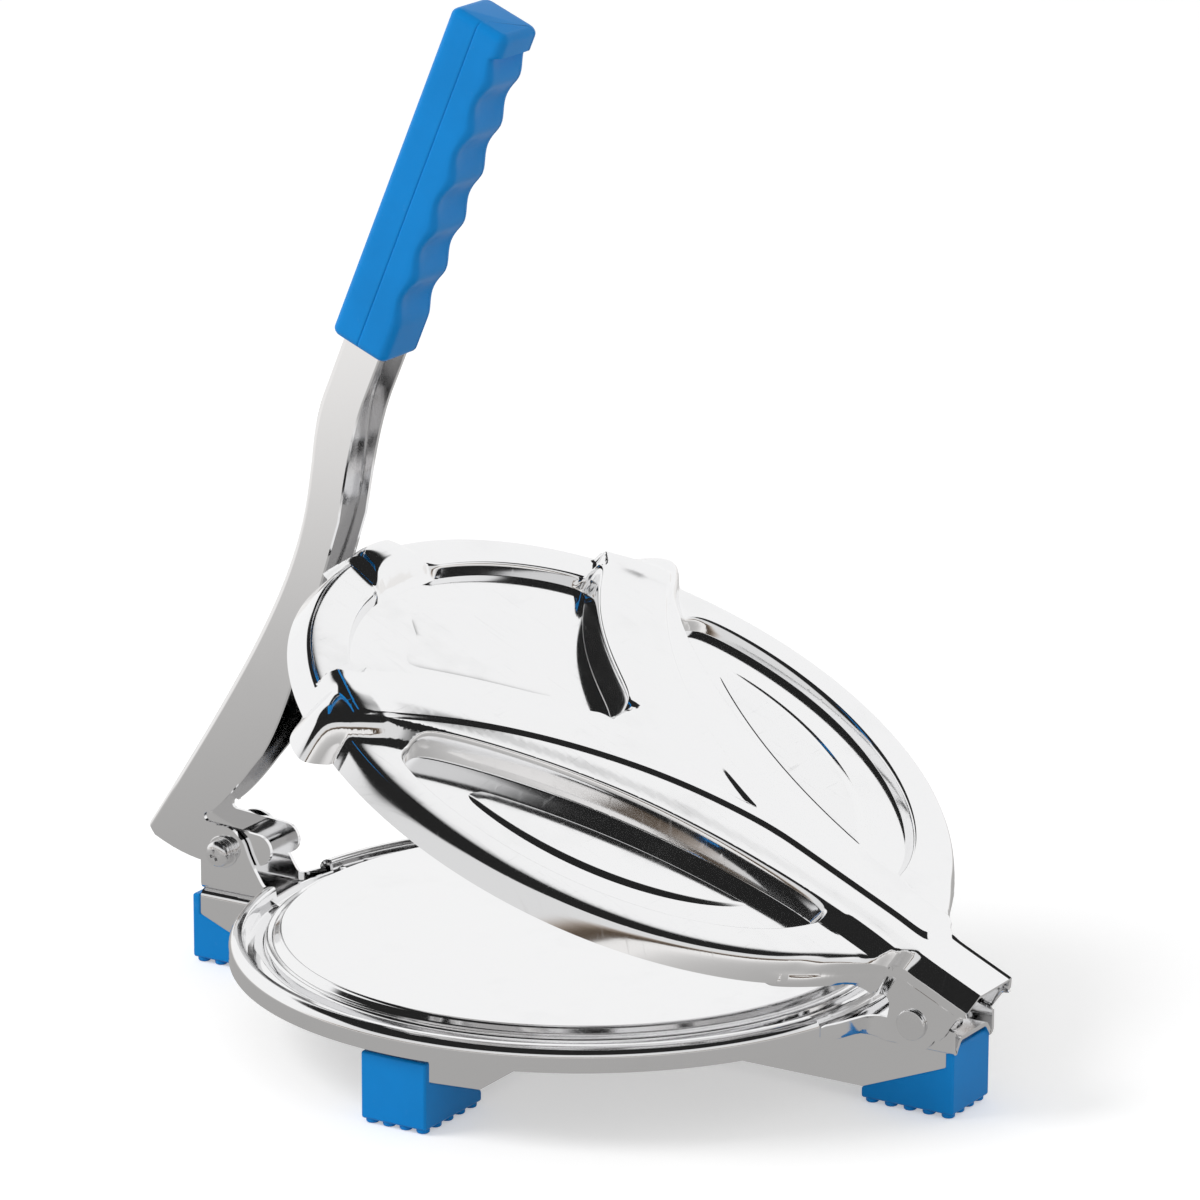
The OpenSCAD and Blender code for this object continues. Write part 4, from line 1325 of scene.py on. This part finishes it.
class PRESS_OT_brackets(Operator):
    """Folded brackets that carry the lid's hinge and the lever's pivot"""

    bl_idname = "press.brackets"
    bl_label = "Brackets"

    def hinge(self, s):
        """Stations of the hinge bracket, from inside the rim to its end."""
        stations = []
        ear_r, plate_z = s.hinge_ear_r, s.plate_z
        spread = [np.arange(78, 88, 2.5), np.arange(88, 103, 0.75), np.arange(103, 121, 0.6), [121.2]]
        for x in np.concatenate(spread):
            flare = float(ease((100.5 - x) / 10.5, 0.45))
            half = s.bracket_y + (s.flare_y - s.bracket_y) * flare
            top = float(np.interp(x, [78, 88, 92, 97, 100, 103.3], [-6.2, -5.4, -3.6, -3.5, -4, -4.1]))
            if abs(x - HINGE.x) < ear_r:
                top = max(top if x < HINGE.x else -9, HINGE.z + math.sqrt(ear_r ** 2 - (x - HINGE.x) ** 2))
            if x > HINGE.x + 5.9:
                top = float(np.interp(x, [115.5, 117, 121.2], [-2.1, -3.4, -4.6]))
            low = s.bracket_low + (plate_z - s.bracket_low) * float(ease((101 - x) / 6))
            stations.append((float(x), half, plate_z, low, top, 6.9 + (half - 12.6) * flare))
        return stations

    def lever(self, s):
        """Stations of the lever bracket, from its end to inside the rim."""
        stations = []
        spread = [[-118.2], np.arange(-118, -96, 0.6), np.arange(-96, -86, 0.9), [-84, -80]]
        for x in np.concatenate(spread):
            flare = float(ease((x + 97.5) / 8, 0.45))
            half = s.ear_face + (18 - s.ear_face) * flare
            if x < -105.5:
                top = PIVOT.z + math.sqrt(max(s.lever_ear_r ** 2 - (x + 110.9) ** 2, 1.2))
            else:
                top = float(np.interp(x, [-105.5, -103.9, -102.3, -101.1, -97.9, -96.8, -94, -90, -86, -80],
                                      [9.3, 7.9, 3.9, 1.6, -3.5, -4.5, -3.8, -3.2, -5, -6]))
            stations.append((float(x), half, s.plate_z, s.plate_z, top, half - 4))
        return stations

    def execute(self, context):
        s = in_mm(context.scene.press_brace)
        for name, stations in (("Hinge_bracket", self.hinge(s)), ("Lever_bracket", self.lever(s))):
            finish_piece(trough(name, stations, s.brace_sheet), "base", "steel_sheet")
        return {"FINISHED"}


# ---- finishes ----


class Wire:
    """A socket in a material; sums and products of it add the nodes that work them out."""

    def __init__(self, finish, socket):
        self.finish = finish
        self.socket = socket

    def work(self, operation, *values):
        return self.finish.add("Math", dict(enumerate(values)), operation=operation)

    def __add__(self, other):
        return self.work("ADD", self, other)

    def __radd__(self, other):
        return self.work("ADD", other, self)

    def __sub__(self, other):
        return self.work("SUBTRACT", self, other)

    def __rsub__(self, other):
        return self.work("SUBTRACT", other, self)

    def __mul__(self, other):
        return self.work("MULTIPLY", self, other)

    def __rmul__(self, other):
        return self.work("MULTIPLY", other, self)

    def slope(self, low, high, first=0.0, last=1.0):
        """The value carried from low..high to first..last, eased and kept within it."""
        values = {"Value": self, "From Min": low, "From Max": high, "To Min": first, "To Max": last}
        return self.finish.add("MapRange", values, interpolation_type="SMOOTHSTEP")


class Finish:
    """A node tree under construction."""

    def __init__(self, owner):
        owner.use_nodes = True
        self.tree = owner.node_tree
        self.tree.nodes.clear()

    def add(self, kind, values=None, out=0, **settings):
        """Adds a node: its settings first, then the values or links of its sockets."""
        node = self.tree.nodes.new("ShaderNode" + kind)
        for name, value in settings.items():
            setattr(node, name, value)
        for name, value in (values or {}).items():
            socket = node.inputs[name]
            if isinstance(value, Wire):
                self.tree.links.new(value.socket, socket)
            else:
                socket.default_value = value
        return Wire(self, node.outputs[out]) if node.outputs else None

    def blend(self, share, low, high):
        """A colour between two, by share."""
        return self.add("Mix", {0: share, 6: low, 7: high}, 2, data_type="RGBA")

    def grain(self, place, scale, detail=2.0, rough=0.5):
        """Noise at a number of waves for each metre."""
        return self.add("TexNoise", {"Vector": place, "Scale": scale, "Detail": detail, "Roughness": rough})

    def place(self):
        """The piece's own coordinates, in metres."""
        return self.add("TexCoord", out="Object")

    def ray(self, kind):
        """1 for rays of the kind, and 0 for all others."""
        return self.add("LightPath", out=f"Is {kind} Ray")

    def stretched(self, place, scale, turned):
        """Coordinates stretched along each axis and turned."""
        return self.add("Mapping", {"Vector": place, "Rotation": turned, "Scale": scale})

    def bump(self, height, strength, distance, **below):
        """Normals of a relief, over those below it if there are any."""
        return self.add("Bump", {"Strength": strength, "Distance": distance, "Height": height, **below})


def steel_finish(name, colour, rough, wave, scratch):
    """Polished stainless steel: faint waves of the pressed sheet, hairlines and wiped smudges."""
    material = bpy.data.materials.new(name)
    finish = Finish(material)
    place = finish.place()
    smudge = finish.grain(place, 38, 4, 0.6).slope(0.52, 0.7)
    hair = finish.grain(finish.stretched(place, (60, 1500, 60), (0, 0, 0.4)), 1, 3, 0.6)
    cross = finish.grain(finish.stretched(place, (1300, 70, 70), (0.3, 0, 0.2)), 1, 3, 0.6)
    lines = hair.slope(0.6, 0.72) + cross.slope(0.62, 0.74)
    waves = finish.bump(finish.grain(place, 21, 1, 0.4), 1.0, wave)
    dulled = tuple(c * 0.965 for c in colour)
    tint = finish.blend(smudge * 0.5 + lines * 0.12, (*colour, 1), (*dulled, 1))
    shader = finish.add("BsdfPrincipled", {
        "Base Color": tint, "Metallic": 1.0, "Roughness": smudge * 0.035 + lines * scratch + rough,
        "Normal": finish.bump(hair + cross, 0.25, 0.0000015, Normal=waves)})
    finish.add("OutputMaterial", {"Surface": shader})
    return material


def plastic_finish(name, colour, rough):
    """Satin moulded polypropylene: a faint grain, cloudy gloss and pale scuffs."""
    material = bpy.data.materials.new(name)
    finish = Finish(material)
    place = finish.place()
    cloud = finish.grain(place, 55, 3, 0.55)
    rubbed = finish.stretched(place, (300, 900, 240), (0.5, 0.3, 0.2))
    scuff = finish.grain(rubbed, 1, 4, 0.65).slope(0.66, 0.8)
    pale = tuple(c + (1 - c) * 0.1 for c in colour)
    deep = tuple(c * 0.93 for c in colour)
    tint = finish.blend(cloud.slope(0.3, 0.7), (*deep, 1), (*colour, 1))
    relief = finish.grain(place, 2600, 2, 0.6) * 0.4 + finish.grain(place, 120, 1, 0.4)
    shader = finish.add("BsdfPrincipled", {
        "Base Color": finish.blend(scuff * 0.35, tint, (*pale, 1)),
        "Roughness": cloud * 0.08 + scuff * 0.1 + rough,
        "Normal": finish.bump(relief, 0.5, 0.00004), "IOR": 1.49, "Specular IOR Level": 0.22})
    finish.add("OutputMaterial", {"Surface": shader})
    return material


class PRESS_OT_finishes(Operator):
    """Polished steel and blue plastic for every piece"""

    bl_idname = "press.finishes"
    bl_label = "Finishes"

    def execute(self, context):
        s = context.scene.press_finish
        duller = tuple(0.96 * c for c in s.steel)
        by_slot = {
            "steel_sheet": steel_finish("Polished steel", tuple(s.steel), s.steel_rough, 0.00006, 0.06),
            "steel_fasteners": steel_finish("Bright fasteners", duller, s.steel_rough + 0.1, 0.00002, 0.1),
            "blue_plastic": plastic_finish("Blue plastic", tuple(s.plastic), s.plastic_rough),
        }
        for piece in [o for o in bpy.data.objects if o.type == "MESH" and not o.get("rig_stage")]:
            slot = piece.get("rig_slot", "steel_sheet")
            node = piece.get("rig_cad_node", "")
            if node.startswith("foot") or node == "lever_grip":
                slot = "blue_plastic"
            elif node.startswith(("hinge_rivet", "pivot")):
                slot = "steel_fasteners"
            material = by_slot[slot]
            if piece.material_slots:
                for place in piece.material_slots:
                    place.material = material
            else:
                piece.data.materials.append(material)
        return {"FINISHED"}


# ---- stage ----


class PRESS_OT_stage(Operator):
    """Camera, soft lamp, pale floor and surroundings"""

    bl_idname = "press.stage"
    bl_label = "Stage"

    # Level direction towards the camera, and how high the mirrored ceiling starts behind and in front.
    front = (0.522, -0.853, 0)
    ceiling_low, ceiling_fall = 0.63, 0.17

    def put(self, name, data, place, turned):
        """Puts a camera or a lamp in the scene."""
        thing = bpy.data.objects.new(name, data)
        bpy.context.scene.collection.objects.link(thing)
        thing.location = place
        thing.rotation_euler = turned.to_euler()
        return thing

    def camera(self, s):
        """The camera, looking at its aim with its roll."""
        level = math.cos(s.elevation)
        away = Vector((math.sin(s.azimuth) * level, -math.cos(s.azimuth) * level, math.sin(s.elevation)))
        data = bpy.data.cameras.new("Camera")
        data.lens = s.lens
        data.sensor_width = 36
        data.sensor_fit = "HORIZONTAL"
        data.clip_start = 0.1
        data.clip_end = 50
        turned = away.to_track_quat("Z", "Y").to_matrix().to_4x4() @ Matrix.Rotation(s.roll, 4, "Z")
        bpy.context.scene.camera = self.put("Camera", data, Vector(s.aim) + away * s.distance, turned)

    def surroundings(self, s):
        """White walls, a dark ceiling and a warm dark strip in front, for what the steel mirrors."""
        world = bpy.data.worlds.new("Studio")
        bpy.context.scene.world = world
        finish = Finish(world)
        way = finish.add("TexCoord", out="Generated")
        up = finish.add("SeparateXYZ", {0: way}, 2)
        front = finish.add("VectorMath", {0: way, 1: self.front}, 1, operation="DOT_PRODUCT")
        facing = front.slope(-0.25, 0.35)
        ceiling = (up - (self.ceiling_low - facing * self.ceiling_fall)).slope(-0.025, 0.025)
        strip = facing * (1.0 - up.slope(0.03, 0.12))
        wall = 1.0 - facing * 0.22
        bright = wall * (1.0 - ceiling) * (1.0 - strip * 0.86) + ceiling * 0.018
        warm = finish.blend(strip, (1, 1, 1, 1), (0.82, 0.6, 0.42, 1))
        mirrored = finish.add("VectorMath", {0: warm, "Scale": bright}, operation="SCALE")
        soft = finish.add("Background", {"Color": (1, 1, 1, 1), "Strength": s.fill})
        painted_reflection = finish.add("Background", {"Color": mirrored, "Strength": 1.0})
        white = finish.add("Background", {"Color": (1, 1, 1, 1), "Strength": 1.0})
        first = finish.add("MixShader", {0: finish.ray("Glossy"), 1: soft, 2: painted_reflection})
        seen = finish.ray("Camera") + finish.ray("Transmission")
        finish.add("OutputWorld", {"Surface": finish.add("MixShader", {0: seen, 1: first, 2: white})})

    def floor(self, s):
        """A wide pale floor that keeps the soft shadow, and that glows for the steel to mirror, with painted
        shade near the press.
        """
        deselect()
        bpy.ops.mesh.primitive_circle_add(vertices=96, radius=6, fill_type="NGON", location=(0, 0, 0))
        floor = named("Floor")
        move(floor, (0, 0, s.floor_z * MM))
        material = bpy.data.materials.new("Pale floor")
        finish = Finish(material)
        away = finish.add("VectorMath", {0: finish.place()}, 1, operation="LENGTH")
        pale = finish.add("BsdfDiffuse", {"Color": (0.8, 0.8, 0.8, 1)})
        glow = finish.add("Emission", {"Color": (1, 1, 1, 1), "Strength": finish.ray("Camera") * 0.42})
        seen = finish.add("AddShader", {0: pale, 1: glow})
        # Painted reflection: glossy rays see the floor glow rather than lit, dimmer near the press as painted
        # shade where its shadow falls.
        painted_reflection = away.slope(0.12, 0.9, 0.42, 0.92)
        mirrored = finish.add("Emission", {"Color": (1, 0.985, 0.97, 1), "Strength": painted_reflection})
        last = finish.add("MixShader", {0: finish.ray("Glossy"), 1: seen, 2: mirrored})
        finish.add("OutputMaterial", {"Surface": last})
        floor.data.materials.append(material)
        floor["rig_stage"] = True

    def lamp(self, name, place, size, power):
        """A wide soft lamp that the steel doesn't mirror."""
        data = bpy.data.lights.new(name, "AREA")
        data.shape = "DISK"
        data.size = size
        data.energy = power
        self.put(name, data, place, Vector(place).to_track_quat("Z", "Y")).visible_glossy = False

    def execute(self, context):
        s = in_mm(context.scene.press_stage)
        s.distance *= MM
        self.camera(s)
        self.surroundings(s)
        self.floor(s)
        self.lamp("Key lamp", (-1.3, -1.1, 1.6), 1.2, s.key_power)
        context.scene.view_settings.view_transform = "Standard"
        return {"FINISHED"}


# ---- add-on ----


class PRESS_PT_sidebar(Panel):
    """The press's pieces and sizes in the sidebar"""

    bl_idname = "PRESS_PT_sidebar"
    bl_label = "Tortilla press"
    bl_space_type = "VIEW_3D"
    bl_region_type = "UI"
    bl_category = "Press"

    def draw(self, context):
        for step in STEPS:
            self.layout.operator(step.bl_idname)
        for name, group in GROUPS.items():
            box = self.layout.box()
            box.label(text=group.__doc__.rstrip("."))
            for field in group.__annotations__:
                box.prop(getattr(context.scene, name), field)


GROUPS = {
    "press_plate": PlateSizes,
    "press_lid": LidSizes,
    "press_lever": LeverSizes,
    "press_foot": FootSizes,
    "press_brace": BraceSizes,
    "press_fastener": FastenerSizes,
    "press_finish": FinishColours,
    "press_stage": StageSizes,
}
STEPS = (
    PRESS_OT_base_plate, PRESS_OT_braces, PRESS_OT_brackets, PRESS_OT_feet, PRESS_OT_rivets, PRESS_OT_pivot,
    PRESS_OT_lid, PRESS_OT_press_pan, PRESS_OT_lever, PRESS_OT_grip, PRESS_OT_stage, PRESS_OT_finishes,
)
CLASSES = (*GROUPS.values(), *STEPS, PRESS_PT_sidebar)


def register():
    for kind in CLASSES:
        bpy.utils.register_class(kind)
    for name, group in GROUPS.items():
        setattr(bpy.types.Scene, name, PointerProperty(type=group))


def unregister():
    for name in GROUPS:
        delattr(bpy.types.Scene, name)
    for kind in reversed(CLASSES):
        bpy.utils.unregister_class(kind)


def main():
    register()
    for step in STEPS:
        family, verb = step.bl_idname.split(".")
        getattr(getattr(bpy.ops, family), verb)()
    deselect()


if __name__ == "__main__":
    main()
